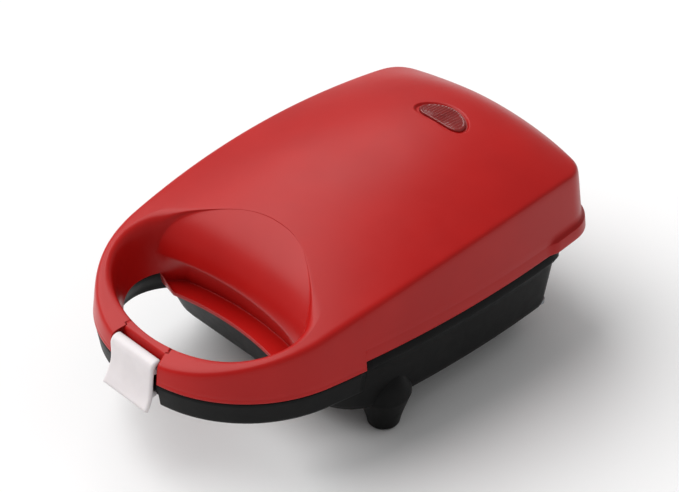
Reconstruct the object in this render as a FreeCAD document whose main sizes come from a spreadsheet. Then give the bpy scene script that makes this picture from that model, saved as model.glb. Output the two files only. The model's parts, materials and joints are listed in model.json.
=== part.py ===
import FreeCAD, Part
import math
import os
import re
import Sketcher
from FreeCAD import Vector

doc = FreeCAD.newDocument("PaniniPress")

# ---------------------------------------------------------------- driving sizes (mm, degrees)
sizes = [
    ("half_width", 66.6, "half the width over the lid's lower edge"),
    ("widest_y", 13.4, "where the sides are widest"),
    ("side_radius", 520, "slow curve of each side"),
    ("front_y", 105, "front of the handle ring, ahead of the origin"),
    ("front_radius", 80, "curve of the ring's front"),
    ("ring_radius", 58, "curve where side turns into ring"),
    ("rear_y", 107.85, "rear edge of the lid"),
    ("rear_radius", 185, "curve of the rear edge"),
    ("rear_corner", 18, "radius of the lid's rear corners"),
    ("base_rear_y", 90.5, "rear wall of the base"),
    ("base_corner", 12, "radius of the base's rear corners"),
    ("parting_z", 43.2, "where the two halves of the ring meet"),
    ("edge_z", 47.5, "lower edge of the lid behind the ring"),
    ("step_y", 36, "the step in the lid's edge, ahead of the origin"),
    ("lid_draft", 6.3, "draft of the lid's walls"),
    ("base_draft", 9, "draft of the base's walls"),
    ("housing_wall", 2.4, "wall of both mouldings"),
    ("crown_z", 88.3, "top of the crown"),
    ("crown_y", 68, "where the crown is highest"),
    ("crown_curve", 0.00124, "fall of the crown's middle line, per mm squared"),
    ("shoulder_z", 74.5, "height of the shoulder line at the origin"),
    ("shoulder_rise", 0.1076, "slope of the shoulder line at the origin"),
    ("shoulder_curve", 0.0009, "fall of the shoulder line, per mm squared"),
    ("lip_flare", 1.4, "how far the lid's rear lip stands out"),
    ("lip_height", 5.5, "height of that lip"),
    ("lip_start_y", 70, "where the lip begins"),
    ("opening_half", 44, "half width of the finger opening at the parting"),
    ("opening_reach", 29.35, "half length of that oval"),
    ("opening_y", 62.65, "middle of the oval, ahead of the origin"),
    ("opening_flare", 0.24, "how fast the oval widens away from the parting"),
    ("roll_axis_y", 190.3, "axis that the palm roll is turned about, ahead of the origin"),
    ("roll_radius", 143, "from that axis to the roll's lower edge"),
    ("roll_depth", 19.3, "the roll from its lower edge to its back"),
    ("roll_bottom_z", 52.3, "height of the roll's lower edge"),
    ("roll_top_z", 76, "height of the roll's back"),
    ("roll_bulge", 34.9, "radius of the roll"),
    ("grip_undercut", 5.6, "how far the wall under the roll falls back"),
    ("shelf_z", 38.2, "top of the shelf below that wall"),
    ("shelf_reach", 9.3, "how far the shelf stands forward"),
    ("shelf_thick", 1.8, "thickness of the shelf"),
    ("skirt_room", 12, "how far the lid's blocks run below the parting before they are trimmed"),
    ("ring_bottom_z", 31, "underside of the base's half of the ring"),
    ("base_bottom_z", 16, "underside of the base"),
    ("bead_z", 43.4, "outer edge of the base's rim"),
    ("bead_inset", 0.3, "the rim's edge in from the lid's outline"),
    ("bead_under", 1.9, "height of the undercut below the rim"),
    ("wall_inset", 1.6, "top of the base's wall in from the lid's outline"),
    ("base_front_y", 50.5, "top of the base's front wall, ahead of the origin"),
    ("base_front_lean", 8.5, "how far that wall leans back"),
    ("base_front_corner", 30, "rounding of the leaning part's corners, at its top"),
    ("front_corner_draft", 23, "draft of those corners"),
    ("front_corner_room", 4, "how far their block stands outside the lid's outline"),
    ("well_front_y", 35.6, "front of the plate well, ahead of the origin"),
    ("running_gap", 0.4, "clearance between the halves"),
    ("plate_mid_z", 47, "plane between the two plates"),
    ("plate_gap", 0.4, "gap between the plates' rims"),
    ("plate_half", 50, "half width of a plate"),
    ("plate_front_y", 27, "front edge of a plate, ahead of the origin"),
    ("plate_rear_y", 73, "rear edge of a plate"),
    ("plate_corner", 12, "radius of a plate's corners"),
    ("plate_depth", 8.8, "height of a plate"),
    ("plate_rim", 5.5, "width of a plate's rim"),
    ("pocket_depth", 6, "depth of the toast pocket"),
    ("rib_height", 1.6, "height of a grill rib"),
    ("rib_width", 3.2, "width of a grill rib at its foot"),
    ("rib_pitch", 11, "distance between grill ribs"),
    ("flange_width", 3, "screw flange around a plate"),
    ("flange_thick", 2.2, "thickness of that flange"),
    ("frame_thick", 4.2, "height of a plate frame"),
    ("frame_fit", 0.5, "gap round a plate in its frame"),
    ("frame_half", 57.6, "half width of a plate frame"),
    ("frame_front_y", 32.8, "front of a plate frame, ahead of the origin"),
    ("frame_rear_y", 77.5, "rear of a plate frame"),
    ("frame_corner", 7, "radius of a frame's corners"),
    ("screw_inset", 4, "frame screws in from the frame's edges"),
    ("element_radius", 3.25, "radius of the heating tube"),
    ("element_half", 30, "half the distance between its two legs"),
    ("element_bend_y", 9, "where its bend starts"),
    ("element_rear_y", 61, "where its legs end"),
    ("element_gap", 0.1, "gap between the tube and its plate"),
    ("shield_room", 11.5, "heat shield's far face from the plate's back"),
    ("shield_thick", 0.6, "thickness of the heat shield"),
    ("hinge_y", 95, "hinge axis"),
    ("hinge_z", 50, "height of the hinge axis"),
    ("hinge_half", 42, "half distance between the gaps in the hinge"),
    ("hinge_pin", 2.4, "radius of a hinge pin"),
    ("pin_fit", 0.06, "running clearance round a pin"),
    ("knuckle_radius", 5, "radius of a hinge knuckle"),
    ("knuckle_width", 6, "width of a hinge knuckle"),
    ("latch_half", 13.9, "half width of the latch"),
    ("notch_half", 14.5, "half width of the notches for it"),
    ("notch_back_y", 97.7, "back of the lid's notch, ahead of the origin"),
    ("latch_y", 101.3, "latch pivot, ahead of the origin"),
    ("latch_z", 49.6, "height of the latch pivot"),
    ("latch_barrel", 3.5, "radius of the latch's barrel"),
    ("latch_pin", 1, "radius of the latch's pin"),
    ("latch_pin_seat", 1.3, "how deep the pin sits in the ring on either side of the notch"),
    ("latch_thick", 2, "thickness of the latch"),
    ("latch_tip_y", 109.25, "tip of the finger lip, ahead of the origin"),
    ("latch_tip_z", 32, "height of that tip"),
    ("catch_z", 37.6, "underside of the base's catch"),
    ("foot_half", 53.7, "front feet, from the middle"),
    ("foot_y", 16.7, "front feet, ahead of the origin"),
    ("rear_foot_half", 36, "rear feet, from the middle"),
    ("rear_foot_y", 70, "rear feet, behind the origin"),
    ("foot_radius", 7, "a foot at the bottom"),
    ("foot_spread", 4.6, "how much a foot widens upwards"),
    ("pad_radius", 4.6, "rubber pad"),
    ("pad_thick", 1.6, "height of a rubber pad"),
    ("pad_proud", 0.6, "how far a pad stands below its foot"),
    ("lens_half", 13.6, "half width of the lamp lens"),
    ("lens_front_y", 62.8, "flat front edge of the lens"),
    ("lens_depth", 11.4, "the lens from its flat edge to its curved one"),
    ("lens_recess", 1.2, "depth of the groove round the lens"),
    ("lens_groove", 2, "width of that groove"),
    ("lens_height", 6, "height of the lens"),
    ("gland_y", 87.6, "outside of the rear wall at the mains lead's gland"),
    ("gland_radius", 3.5, "bore of that gland"),
    ("gland_z", 27, "height of the gland"),
    ("wire_rear_y", 70.5, "rear run of the wires in the base"),
    ("lamp_glass", 2.3, "radius of the lamp"),
    ("screw_radius", 1.5, "shank of every screw"),
    ("screw_head", 2.9, "head of every screw"),
]
sheet = doc.addObject("Spreadsheet::Sheet", "Sizes")
for row, (alias, value, note) in enumerate(sizes, 1):
    sheet.set("A%d" % row, alias)
    sheet.set("B%d" % row, str(value))
    sheet.set("C%d" % row, note)
    sheet.setAlias("B%d" % row, alias)
doc.recompute()
aliasPattern = re.compile(r"\b(" + "|".join(entry[0] for entry in sizes) + r")\b")


# value of a sheet expression written with bare aliases
def val(text):
    names = {entry[0]: float(sheet.get(entry[0])) for entry in sizes}
    total = aliasPattern.sub(lambda found: repr(names[found.group(1)]), text)
    return float(FreeCAD.Units.Quantity(total).Value)


def bind(thing, prop, text):
    thing.setExpression(prop, aliasPattern.sub(r"Sizes.\1", text))


# ---------------------------------------------------------------- solids bound to the sheet
def place(thing, x, y, z):
    bind(thing, "Placement.Base.x", x)
    bind(thing, "Placement.Base.y", y)
    bind(thing, "Placement.Base.z", z)


def block(name, x, y, z, length, width, height):
    made = doc.addObject("Part::Box", name)
    place(made, x, y, z)
    bind(made, "Length", length)
    bind(made, "Width", width)
    bind(made, "Height", height)
    return made


turns = {
    "X": FreeCAD.Rotation(Vector(0, 1, 0), 90),
    "Y": FreeCAD.Rotation(Vector(1, 0, 0), -90),
    "Z": FreeCAD.Rotation(),
}


def rod(name, axis, x, y, z, radius, length):
    made = doc.addObject("Part::Cylinder", name)
    made.Placement = FreeCAD.Placement(Vector(), turns[axis])
    place(made, x, y, z)
    bind(made, "Radius", radius)
    bind(made, "Height", length)
    return made


def taper(name, x, y, z, low, high, height):
    made = doc.addObject("Part::Cone", name)
    place(made, x, y, z)
    bind(made, "Radius1", low)
    bind(made, "Radius2", high)
    bind(made, "Height", height)
    return made


def cut(name, whole, tool):
    made = doc.addObject("Part::Cut", name)
    made.Base = whole
    made.Tool = tool
    return made


def fuse(name, *pieces):
    made = doc.addObject("Part::MultiFuse", name)
    made.Shapes = list(pieces)
    made.Refine = True
    return made


def shared(name, *pieces):
    made = doc.addObject("Part::MultiCommon", name)
    made.Shapes = list(pieces)
    return made


def group(name, *pieces):
    made = doc.addObject("Part::Compound", name)
    made.Links = list(pieces)
    return made


# mirror image across a plane; the plane's place is a sheet expression along the normal
def mirrored(name, source, axis, place_text="0"):
    made = doc.addObject("Part::Mirroring", name)
    made.Source = source
    made.Normal = {"X": Vector(1, 0, 0), "Z": Vector(0, 0, 1)}[axis]
    bind(made, "Base." + axis.lower(), place_text)
    return made


def bothSides(name, piece):
    return fuse(name, piece, mirrored(name + "_left", piece, "X"))


# ---------------------------------------------------------------- sketches
def newBody(name):
    return doc.addObject("PartDesign::Body", name)


def sketchOn(body, name, role, offset="0"):
    made = body.newObject("Sketcher::SketchObject", name)
    plane = [item for item in body.Origin.OriginFeatures if item.Role == role][0]
    made.AttachmentSupport = [(plane, "")]
    made.MapMode = "FlatFace"
    bind(made, "AttachmentOffset.Base.z", offset)
    return made


# adds one named dimension and ties it to the sheet
def dimension(sketch, kind, name, text, *ends):
    index = sketch.addConstraint(Sketcher.Constraint(kind, *ends, val(text)))
    sketch.renameConstraint(index, name)
    bind(sketch, "Constraints." + name, text)


def arcAt(centre, radius, start, end):
    circle = Part.Circle(Vector(centre[0], centre[1], 0), Vector(0, 0, 1), radius)
    return Part.ArcOfCircle(circle, start, end)


# centre of a circle of radius small, tangent inside two others; side picks the solution
def nested(first, firstRadius, second, secondRadius, small, side):
    a = Vector(first[0], first[1], 0)
    b = Vector(second[0], second[1], 0)
    reachA = firstRadius - small
    reachB = secondRadius - small
    span = (b - a).Length
    along = (reachA ** 2 - reachB ** 2 + span ** 2) / (2 * span)
    across = math.sqrt(reachA ** 2 - along ** 2)
    unit = (b - a) / span
    point = a + unit * along + Vector(-unit.y, unit.x, 0) * across * side
    return (point.x, point.y)


def bearing(start, end):
    return math.atan2(end[1] - start[1], end[0] - start[0])


# the housings' outline: eight tangent arcs, moved in by inset
def outline(body, name, height, inset, rear="rear_y", corner="rear_corner"):
    sketch = sketchOn(body, name, "XY_Plane", height)
    inset = "(" + inset + ")"
    d = val(inset)
    sideR = val("side_radius") - d
    rearR = val("rear_radius") - d
    frontR = val("front_radius") - d
    cornerR = val(corner) - d
    ringR = val("ring_radius") - d
    side = (val("half_width") - val("side_radius"), val("widest_y"))
    back = (0, val(rear) - val("rear_radius"))
    front = (0, val("front_radius") - val("front_y"))
    cornerC = nested(side, sideR, back, rearR, cornerR, 1)
    ringC = nested(side, sideR, front, frontR, ringR, -1)
    if ringC[0] < 0 or cornerC[0] < 0:
        raise ValueError("outline radii do not meet")
    aRing = bearing(front, ringC)
    aSideLow = bearing(side, ringC)
    aSideHigh = bearing(side, cornerC)
    aBack = bearing(back, cornerC)
    half = math.pi
    arcs = [
        (front, frontR, -half - aRing, aRing),
        (ringC, ringR, aRing, aSideLow),
        (side, sideR, aSideLow, aSideHigh),
        (cornerC, cornerR, aSideHigh, aBack),
        (back, rearR, aBack, half - aBack),
        ((-cornerC[0], cornerC[1]), cornerR, half - aBack, half - aSideHigh),
        ((-side[0], side[1]), sideR, half - aSideHigh, half - aSideLow),
        ((-ringC[0], ringC[1]), ringR, half - aSideLow, half - aRing),
    ]
    for centre, radius, start, end in arcs:
        sketch.addGeometry(arcAt(centre, radius, start, end))
    for i in range(8):
        sketch.addConstraint(Sketcher.Constraint("Tangent", i, 2, (i + 1) % 8, 1))
    radii = ["front_radius", "ring_radius", "side_radius", corner, "rear_radius", corner,
             "side_radius", "ring_radius"]
    for i, radius in enumerate(radii):
        dimension(sketch, "Radius", "radius%d" % i, radius + " - " + inset, i)
    for i in (0, 4):
        sketch.addConstraint(Sketcher.Constraint("PointOnObject", i, 3, -2))
    dimension(sketch, "DistanceY", "front_centre", "front_y - front_radius", 0, 3, -1, 1)
    dimension(sketch, "DistanceY", "rear_centre", "rear_radius - " + rear, 4, 3, -1, 1)
    dimension(sketch, "DistanceX", "right_centre", "side_radius - half_width", 2, 3, -1, 1)
    dimension(sketch, "DistanceY", "right_height", "widest_y", -1, 1, 2, 3)
    dimension(sketch, "DistanceX", "left_centre", "side_radius - half_width", -1, 1, 6, 3)
    dimension(sketch, "DistanceY", "left_height", "widest_y", -1, 1, 6, 3)
    return sketch


# a rectangle with rounded corners, symmetric about the YZ plane
def roundedPlate(body, name, height, half, front, rear, corner):
    sketch = sketchOn(body, name, "XY_Plane", height)
    w, f, b, r = val(half), -val(front), val(rear), val(corner)
    quarter = math.pi / 2
    sketch.addGeometry(Part.LineSegment(Vector(-w + r, f, 0), Vector(w - r, f, 0)))
    sketch.addGeometry(arcAt((w - r, f + r), r, -quarter, 0))
    sketch.addGeometry(Part.LineSegment(Vector(w, f + r, 0), Vector(w, b - r, 0)))
    sketch.addGeometry(arcAt((w - r, b - r), r, 0, quarter))
    sketch.addGeometry(Part.LineSegment(Vector(w - r, b, 0), Vector(-w + r, b, 0)))
    sketch.addGeometry(arcAt((-w + r, b - r), r, quarter, 2 * quarter))
    sketch.addGeometry(Part.LineSegment(Vector(-w, b - r, 0), Vector(-w, f + r, 0)))
    sketch.addGeometry(arcAt((-w + r, f + r), r, 2 * quarter, 3 * quarter))
    for i in range(8):
        sketch.addConstraint(Sketcher.Constraint("Tangent", i, 2, (i + 1) % 8, 1))
    sketch.addConstraint(Sketcher.Constraint("Horizontal", 0))
    sketch.addConstraint(Sketcher.Constraint("Vertical", 2))
    sketch.addConstraint(Sketcher.Constraint("Horizontal", 4))
    sketch.addConstraint(Sketcher.Constraint("Vertical", 6))
    for i in (3, 5, 7):
        sketch.addConstraint(Sketcher.Constraint("Equal", 1, i))
    dimension(sketch, "Radius", "corner", corner, 1)
    dimension(sketch, "DistanceX", "right_side", half, -1, 1, 2, 1)
    dimension(sketch, "DistanceX", "left_side", half, 6, 1, -1, 1)
    dimension(sketch, "DistanceY", "front_side", front, 0, 1, -1, 1)
    dimension(sketch, "DistanceY", "rear_side", rear, -1, 1, 4, 1)
    return sketch


# closed profile; every corner is a pair of sheet expressions. arcs names the runs that are
# bent: the run that starts at that corner gets a radius and bulges left (1) or right (-1).
def profile(body, name, role, corners, arcs=None, offset="0"):
    arcs = arcs or {}
    sketch = sketchOn(body, name, role, offset)
    points = [Vector(val(x), val(y), 0) for x, y in corners]
    count = len(points)
    ends = []
    for i in range(count):
        start = points[i]
        end = points[(i + 1) % count]
        if i not in arcs:
            sketch.addGeometry(Part.LineSegment(start, end))
            ends.append((1, 2))
            continue
        radius = val(arcs[i][0])
        half = (end - start).Length / 2
        left = Vector(-(end - start).y, (end - start).x, 0).normalize()
        centre = (start + end) * 0.5 - left * arcs[i][1] * math.sqrt(radius ** 2 - half ** 2)
        aStart = bearing(centre, start)
        aEnd = bearing(centre, end)
        if arcs[i][1] < 0:
            sketch.addGeometry(arcAt(centre, radius, aStart, aEnd))
            ends.append((1, 2))
        else:
            sketch.addGeometry(arcAt(centre, radius, aEnd, aStart))
            ends.append((2, 1))
    for i in range(count):
        j = (i + 1) % count
        sketch.addConstraint(Sketcher.Constraint("Coincident", i, ends[i][1], j, ends[j][0]))
    for i, (x, y) in enumerate(corners):
        pinTo(sketch, i, ends[i][0], x, y, "p%d" % i)
    for i in arcs:
        dimension(sketch, "Radius", "bend%d" % i, arcs[i][0], i)
    return sketch


# fixes one point of a sketch by its two coordinates, whatever their sign
def pinTo(sketch, geometry, end, x, y, name):
    for kind, text, tag in (("DistanceX", x, "x"), ("DistanceY", y, "y")):
        if abs(val(text)) < 1e-9:
            line = -2 if tag == "x" else -1
            sketch.addConstraint(Sketcher.Constraint("PointOnObject", geometry, end, line))
        elif val(text) > 0:
            dimension(sketch, kind, name + tag, text, -1, 1, geometry, end)
        else:
            dimension(sketch, kind, name + tag, "-(" + text + ")", geometry, end, -1, 1)


def pad(body, sketch, length, draft="0", down=False, middle=False):
    made = body.newObject("PartDesign::Pad", sketch.Name + "_pad")
    made.Profile = sketch
    made.Reversed = down
    bind(made, "Length", length)
    bind(made, "TaperAngle", draft)
    if middle:
        made.SideType = "Symmetric"
    return made


def pocket(body, sketch, length, draft="0", down=True):
    made = body.newObject("PartDesign::Pocket", sketch.Name + "_pocket")
    made.Profile = sketch
    made.Reversed = not down
    bind(made, "Length", length)
    bind(made, "TaperAngle", draft)
    return made


# ---------------------------------------------------------------- crowned top of the lid
# Height of the skin over a point: the shoulder line rises in a slow curve, the middle line
# stands above it as a flatter curve, and the rear falls back to the shoulder.
def crownHeight(x, y, drop):
    shoulder = val("shoulder_z") + val("shoulder_rise") * y - val("shoulder_curve") * y * y
    middle = val("crown_z") - val("crown_curve") * (val("crown_y") - y) ** 2
    rise = val("crown_z") - shoulder if y > val("crown_y") else middle - shoulder
    lean = (val("shoulder_z") - val("parting_z")) * math.tan(math.radians(val("lid_draft")))
    side = val("half_width") - lean - (y - val("widest_y")) ** 2 / (2 * val("side_radius"))
    if y < -val("opening_y"):
        side = max(side, val("ring_radius"))
    rise *= max(1 - (x / side) ** 2, -0.3)
    if y > val("crown_y"):
        rear = val("rear_y") - lean - x * x / (2 * val("rear_radius"))
        rise *= max(1 - ((y - val("crown_y")) / (rear - val("crown_y"))) ** 3, -0.3)
    return shoulder + rise - drop


# solid under the crown, down to the level of the feet
def underCrown(name, drop):
    reachX = val("half_width") + 4
    frontY = -val("front_y") - 6
    rearY = val("rear_y") + 3
    rows = []
    for i in range(15):
        x = -reachX + 2 * reachX * i / 14
        row = []
        for j in range(30):
            y = frontY + (rearY - frontY) * j / 29
            row.append(Vector(x, y, crownHeight(x, y, drop)))
        rows.append(row)
    surface = Part.BSplineSurface()
    surface.interpolate(rows)
    made = doc.addObject("Part::Feature", name)
    made.Shape = surface.toShape().extrude(Vector(0, 0, -val("crown_z")))
    return made


# oval that widens by opening_flare for each mm of height from the parting plane
def oval(name, grow, low, high):
    ends = []
    for tag, height in (("low", low), ("high", high)):
        ring = doc.addObject("Part::Ellipse", name + "_" + tag)
        spread = " + " + grow + " + opening_flare * abs(" + height + " - parting_z)"
        bind(ring, "MajorRadius", "opening_half" + spread)
        bind(ring, "MinorRadius", "opening_reach" + spread)
        place(ring, "0", "-opening_y", height)
        ends.append(ring)
    made = doc.addObject("Part::Loft", name)
    made.Sections = ends
    made.Solid = True
    made.Ruled = True
    return made


# ---------------------------------------------------------------- upper housing
# drafted block on the housings' outline; below adds a straight skirt under the sketch
def taperedBlock(name, height, inset, length, draft, down=False, rear="rear_y", corner="rear_corner",
                 below=None):
    body = newBody(name)
    made = pad(body, outline(body, name + "_outline", height, inset, rear, corner), length, draft, down)
    if below:
        made.SideType = "Two sides"
        bind(made, "Length2", below)
    return body


# the same oval with upright walls, for the base's half of the ring
def ovalPost(name, grow, low, length):
    ring = doc.addObject("Part::Ellipse", name + "_ring")
    bind(ring, "MajorRadius", "opening_half + " + grow)
    bind(ring, "MinorRadius", "opening_reach + " + grow)
    place(ring, "0", "-opening_y", low)
    made = doc.addObject("Part::Extrusion", name)
    made.Base = ring
    made.DirMode = "Custom"
    made.Dir = Vector(0, 0, 1)
    made.Solid = True
    bind(made, "LengthFwd", length)
    return made


# Palm roll: a half section turned about an upright axis ahead of the press. It has the roll's
# arc, the undercut wall below it and the small shelf; skin moves it in for the hollow side.
def rollSolid(name, skin):
    body = newBody(name)
    body.Placement = FreeCAD.Placement(Vector(), FreeCAD.Rotation(Vector(0, 0, 1), 90))
    place(body, "0", "-roll_axis_y", "0")
    far = "roll_radius + roll_depth + 22"
    wall = "roll_radius + grip_undercut + " + skin
    low = "shelf_z - shelf_thick"
    corners = [
        (wall, "shelf_z"),
        ("roll_radius + " + skin, "roll_bottom_z"),
        ("roll_radius + roll_depth", "roll_top_z - 1.15 * " + skin),
        (far, "roll_top_z - 1.15 * " + skin),
        (far, low),
    ]
    if skin == "0":
        nose = "roll_radius + grip_undercut - shelf_reach"
        corners += [(nose, low), (nose, "shelf_z")]
    else:
        corners += [(wall, low)]
    section = profile(body, name + "_section", "XZ_Plane", corners, {1: ("roll_bulge", 1)})
    made = body.newObject("PartDesign::Revolution", name + "_turn")
    made.Profile = section
    made.ReferenceAxis = (section, ["V_Axis"])
    made.Midplane = True
    made.Angle = 50
    return body


lidBlock = taperedBlock("lid_block", "parting_z", "0", "crown_z - parting_z + 5", "-lid_draft",
                        below="skirt_room - 1")
lidSolid = shared("lid_solid", lidBlock, underCrown("lid_top", 0))
lidLip = shared(
    "lid_lip",
    taperedBlock("lip_block", "edge_z", "-lip_flare", "lip_height", "-2 * lid_draft"),
    block("lip_zone", "-half_width - 5", "lip_start_y", "edge_z", "2 * half_width + 10", "60", "20"),
)
ovalLow = "shelf_z - shelf_thick - 3"
fingerOval = oval("finger_oval", "0", ovalLow, "crown_z + 5")
fingerWall = oval("finger_wall", "housing_wall", ovalLow, "crown_z + 5")
fingerCut = cut("finger_cut", fingerOval, rollSolid("roll", "0"))
fingerKept = cut("finger_kept", fingerWall, rollSolid("roll_inside", "housing_wall"))
lidHollow = shared(
    "lid_hollow_block",
    taperedBlock("hollow_block", "parting_z", "housing_wall", "60", "-lid_draft", below="skirt_room"),
    underCrown("hollow_top", val("housing_wall")),
)
lidHollow = cut("lid_hollow", lidHollow, fingerKept)
lidSkin = cut("lid_skin", cut("lid_ring", fuse("lid_lipped", lidSolid, lidLip), fingerCut), lidHollow)


# upright round post of radius, from low to high
def post(name, x, y, low, high, radius="screw_radius + 2"):
    return rod(name, "Z", x, y, low, radius, high + " - (" + low + ")")


# outline of the lamp lens: a straight front edge and a full, round rear
def lensSolid(name, grow, low, length):
    body = newBody(name)
    half = "lens_half + " + grow
    front = "lens_front_y - " + grow
    corners = [
        ("-(" + half + ") + 2", front),
        (half + " - 2", front),
        (half, front + " + 2"),
        ("0", "lens_front_y + lens_depth + " + grow),
        ("-(" + half + ")", front + " + 2"),
    ]
    round_rear = ("lens_half * 1.1 + " + grow, -1)
    bends = {1: ("2", -1), 2: round_rear, 3: round_rear, 4: ("2", -1)}
    sketch = profile(body, name + "_outline", "XY_Plane", corners, bends, low)
    pad(body, sketch, length)
    return body


# inside the lid: screw posts, the walls of the latch notch, the hinge webs and the seat of the
# lamp lens, each running half way into the skin
frameTop = "plate_mid_z + plate_gap / 2 + frame_thick"
screwSpots = [
    ("front", "frame_half - screw_inset", "-frame_front_y + screw_inset"),
    ("rear", "frame_half - screw_inset", "frame_rear_y - screw_inset"),
]
kept = []
for tag, x, y in screwSpots:
    kept.append(bothSides("lid_posts_" + tag, post("lid_post_" + tag, x, y, frameTop, "crown_z")))
kept.append(block("notch_room", "-notch_half - housing_wall", "-front_y - 5", "parting_z - 5",
                  "2 * notch_half + 2 * housing_wall", "front_y + 5 - notch_back_y + housing_wall", "40"))
kept.append(bothSides("hinge_webs", block(
    "hinge_web", "hinge_half + running_gap / 2", "hinge_y - knuckle_radius", "hinge_z", "knuckle_width",
    "2 * knuckle_radius", "crown_z - hinge_z")))
kept.append(cut("lens_seat", lensSolid("lens_seat_block", "lens_groove + 1.5", "crown_z - 10", "20"),
                underCrown("seat_floor", val("housing_wall + lens_recess"))))
kept = shared("lid_kept_inside", fuse("lid_kept", *kept), underCrown("mid_skin", val("housing_wall / 2")),
              taperedBlock("mid_block", "parting_z", "housing_wall / 2", "60", "-lid_draft"))
lidShell = fuse("lid_shell", lidSkin, kept)

# below the parting only the shelf under the palm roll is left
ringCut = cut(
    "ring_cut",
    block("below_parting", "-half_width - 5", "-front_y - 5", "parting_z - 20", "2 * half_width + 10",
          "240", "20"),
    block("shelf_zone", "-opening_half + 1", "-base_front_y - 8", "shelf_z - shelf_thick",
          "2 * opening_half - 2",
          "base_front_y + 8 - well_front_y", "30"),
)
edgeCut = block("edge_cut", "-half_width - 5", "-step_y", "parting_z - 10", "2 * half_width + 10", "160",
                "edge_z - parting_z + 10")
lidEyes = bothSides("lid_eyes", rod("lid_eye", "X", "hinge_half + running_gap / 2", "hinge_y", "hinge_z",
                                    "knuckle_radius", "knuckle_width"))
lidCuts = [
    block("latch_notch", "-notch_half", "-front_y - 5", "parting_z - 5", "2 * notch_half",
          "front_y + 5 - notch_back_y", "40"),
    rod("latch_bore", "X", "-notch_half - latch_pin_seat", "-latch_y", "latch_z", "latch_pin",
        "2 * notch_half + 2 * latch_pin_seat"),
    rod("lid_pin_bore", "X", "-hinge_half - 20", "hinge_y", "hinge_z", "hinge_pin", "2 * hinge_half + 40"),
    bothSides("arm_slots", block("arm_slot", "hinge_half - knuckle_width - 3 * running_gap / 2", "hinge_y - 2",
                                 "edge_z - 5", "knuckle_width + 2 * running_gap", "30",
                                 "hinge_z + knuckle_radius + 0.6 - edge_z + 5")),
    lensSolid("lens_hole", "0.05", "crown_z - 20", "30"),
    cut("lens_groove_cut", lensSolid("lens_rim", "lens_groove", "crown_z - 8", "20"),
        underCrown("groove_floor", val("lens_recess"))),
]
for tag, x, y in screwSpots:
    lidCuts.append(bothSides("lid_pilots_" + tag,
                             rod("lid_pilot_" + tag, "Z", x, y, frameTop, "screw_radius",
                                                      "10")))
lidTrimmed = fuse("lid_trimmed", cut("lid_edged", cut("lid_parted", lidShell, ringCut), edgeCut), lidEyes)
upperHousing = cut("upper_housing", lidTrimmed, fuse("lid_cuts", *lidCuts))

# ---------------------------------------------------------------- lower housing
# Side view of the base, padded across: it leans back under the finger opening, and the well
# for the plate starts behind the lid's front wall.
shelfLevel = "shelf_z - shelf_thick - running_gap"


def sideView(name, wall):
    body = newBody(name)
    floor = "base_bottom_z + " + wall
    lean = "base_front_lean / (shelf_z - base_bottom_z) * " + wall
    shelf = shelfLevel + " - " + wall
    corners = [
        ("-base_front_y + base_front_lean + " + wall + " - " + lean, floor),
        ("-base_front_y + " + wall + " + " + lean, shelf),
        ("-well_front_y + " + wall, shelf),
        ("-well_front_y + " + wall, "plate_mid_z + 3"),
        ("base_rear_y + 10", "plate_mid_z + 3"),
        ("base_rear_y + 10", floor),
    ]
    sketch = profile(body, name + "_section", "YZ_Plane", corners)
    pad(body, sketch, "2 * half_width + 20", middle=True)
    return body


# block with the drafted, rounded front corners of the base; wall moves it in
def cornerBlock(name, wall):
    body = newBody(name)
    sketch = roundedPlate(body, name + "_outline", shelfLevel, "half_width + front_corner_room - " + wall,
                          "base_front_y - " + wall, "base_rear_y + 20", "base_front_corner - " + wall)
    made = pad(body, sketch, "shelf_z - base_bottom_z", "-front_corner_draft", down=True)
    made.SideType = "Two sides"
    bind(made, "Length2", "edge_z - shelf_z + 8")
    return body


def baseBlock(name, height, inset, length, draft, down):
    return taperedBlock(name, height, inset, length, draft, down, "base_rear_y", "base_corner")


behindStep = block("behind_step", "-half_width - 5", "-step_y", "parting_z - 40", "2 * half_width + 10",
                   "140", "50")
rimHeight = "edge_z - bead_z - 0.3"
baseRim = shared("base_rim", behindStep, fuse(
    "rim_blocks",
    baseBlock("rim_slope", "bead_z", "bead_inset", rimHeight, "-2.4 * base_draft", False),
    baseBlock("rim_under", "bead_z", "bead_inset", "bead_under", "-3.4 * base_draft", True),
))
baseWell = shared("base_well", sideView("base_side", "0"), cornerBlock("base_corners", "0"), baseBlock(
    "well_block", "edge_z - 0.4", "wall_inset - 0.4", "edge_z - 0.4 - base_bottom_z", "-base_draft", True))
ringBlock = taperedBlock("ring_block", "parting_z - running_gap / 2", "0.2",
                         "parting_z - running_gap / 2 - ring_bottom_z", "-base_draft", True)
ringFront = cut("ring_front", ringBlock, block("ring_rear", "-half_width - 5", "-step_y + 1", "0",
                                               "2 * half_width + 10", "160", "60"))
shelfRoom = block("shelf_room", "-opening_half + 0.5", "-base_front_y - 9", shelfLevel,
                  "2 * opening_half - 1",
                  "base_front_y + 9 - well_front_y - running_gap / 2", "20")
ringHalf = cut("ring_half", cut("ring_roomy", ringFront, shelfRoom),
               ovalPost("ring_oval", "1.2", "base_bottom_z", "40"))
ringHollow = cut(
    "ring_hollow",
    taperedBlock("ring_hollow_block", "parting_z + 2", "housing_wall + 0.2",
                 "parting_z + 2 - ring_bottom_z - housing_wall",
                 "-base_draft", True),
    fuse("ring_hollow_kept", ovalPost("ring_hollow_oval", "1.2 + housing_wall", "base_bottom_z", "40"),
         block("ring_hollow_rear", "-half_width", "-step_y - housing_wall", "0", "2 * half_width", "160",
               "60")),
)
wellHollow = shared("well_hollow", sideView("base_side_inside", "housing_wall"),
                    cornerBlock("base_corners_inside", "housing_wall"), baseBlock(
    "well_hollow_block", "edge_z + 1", "wall_inset + housing_wall",
    "edge_z + 1 - base_bottom_z - housing_wall",
    "-base_draft", True))


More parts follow.
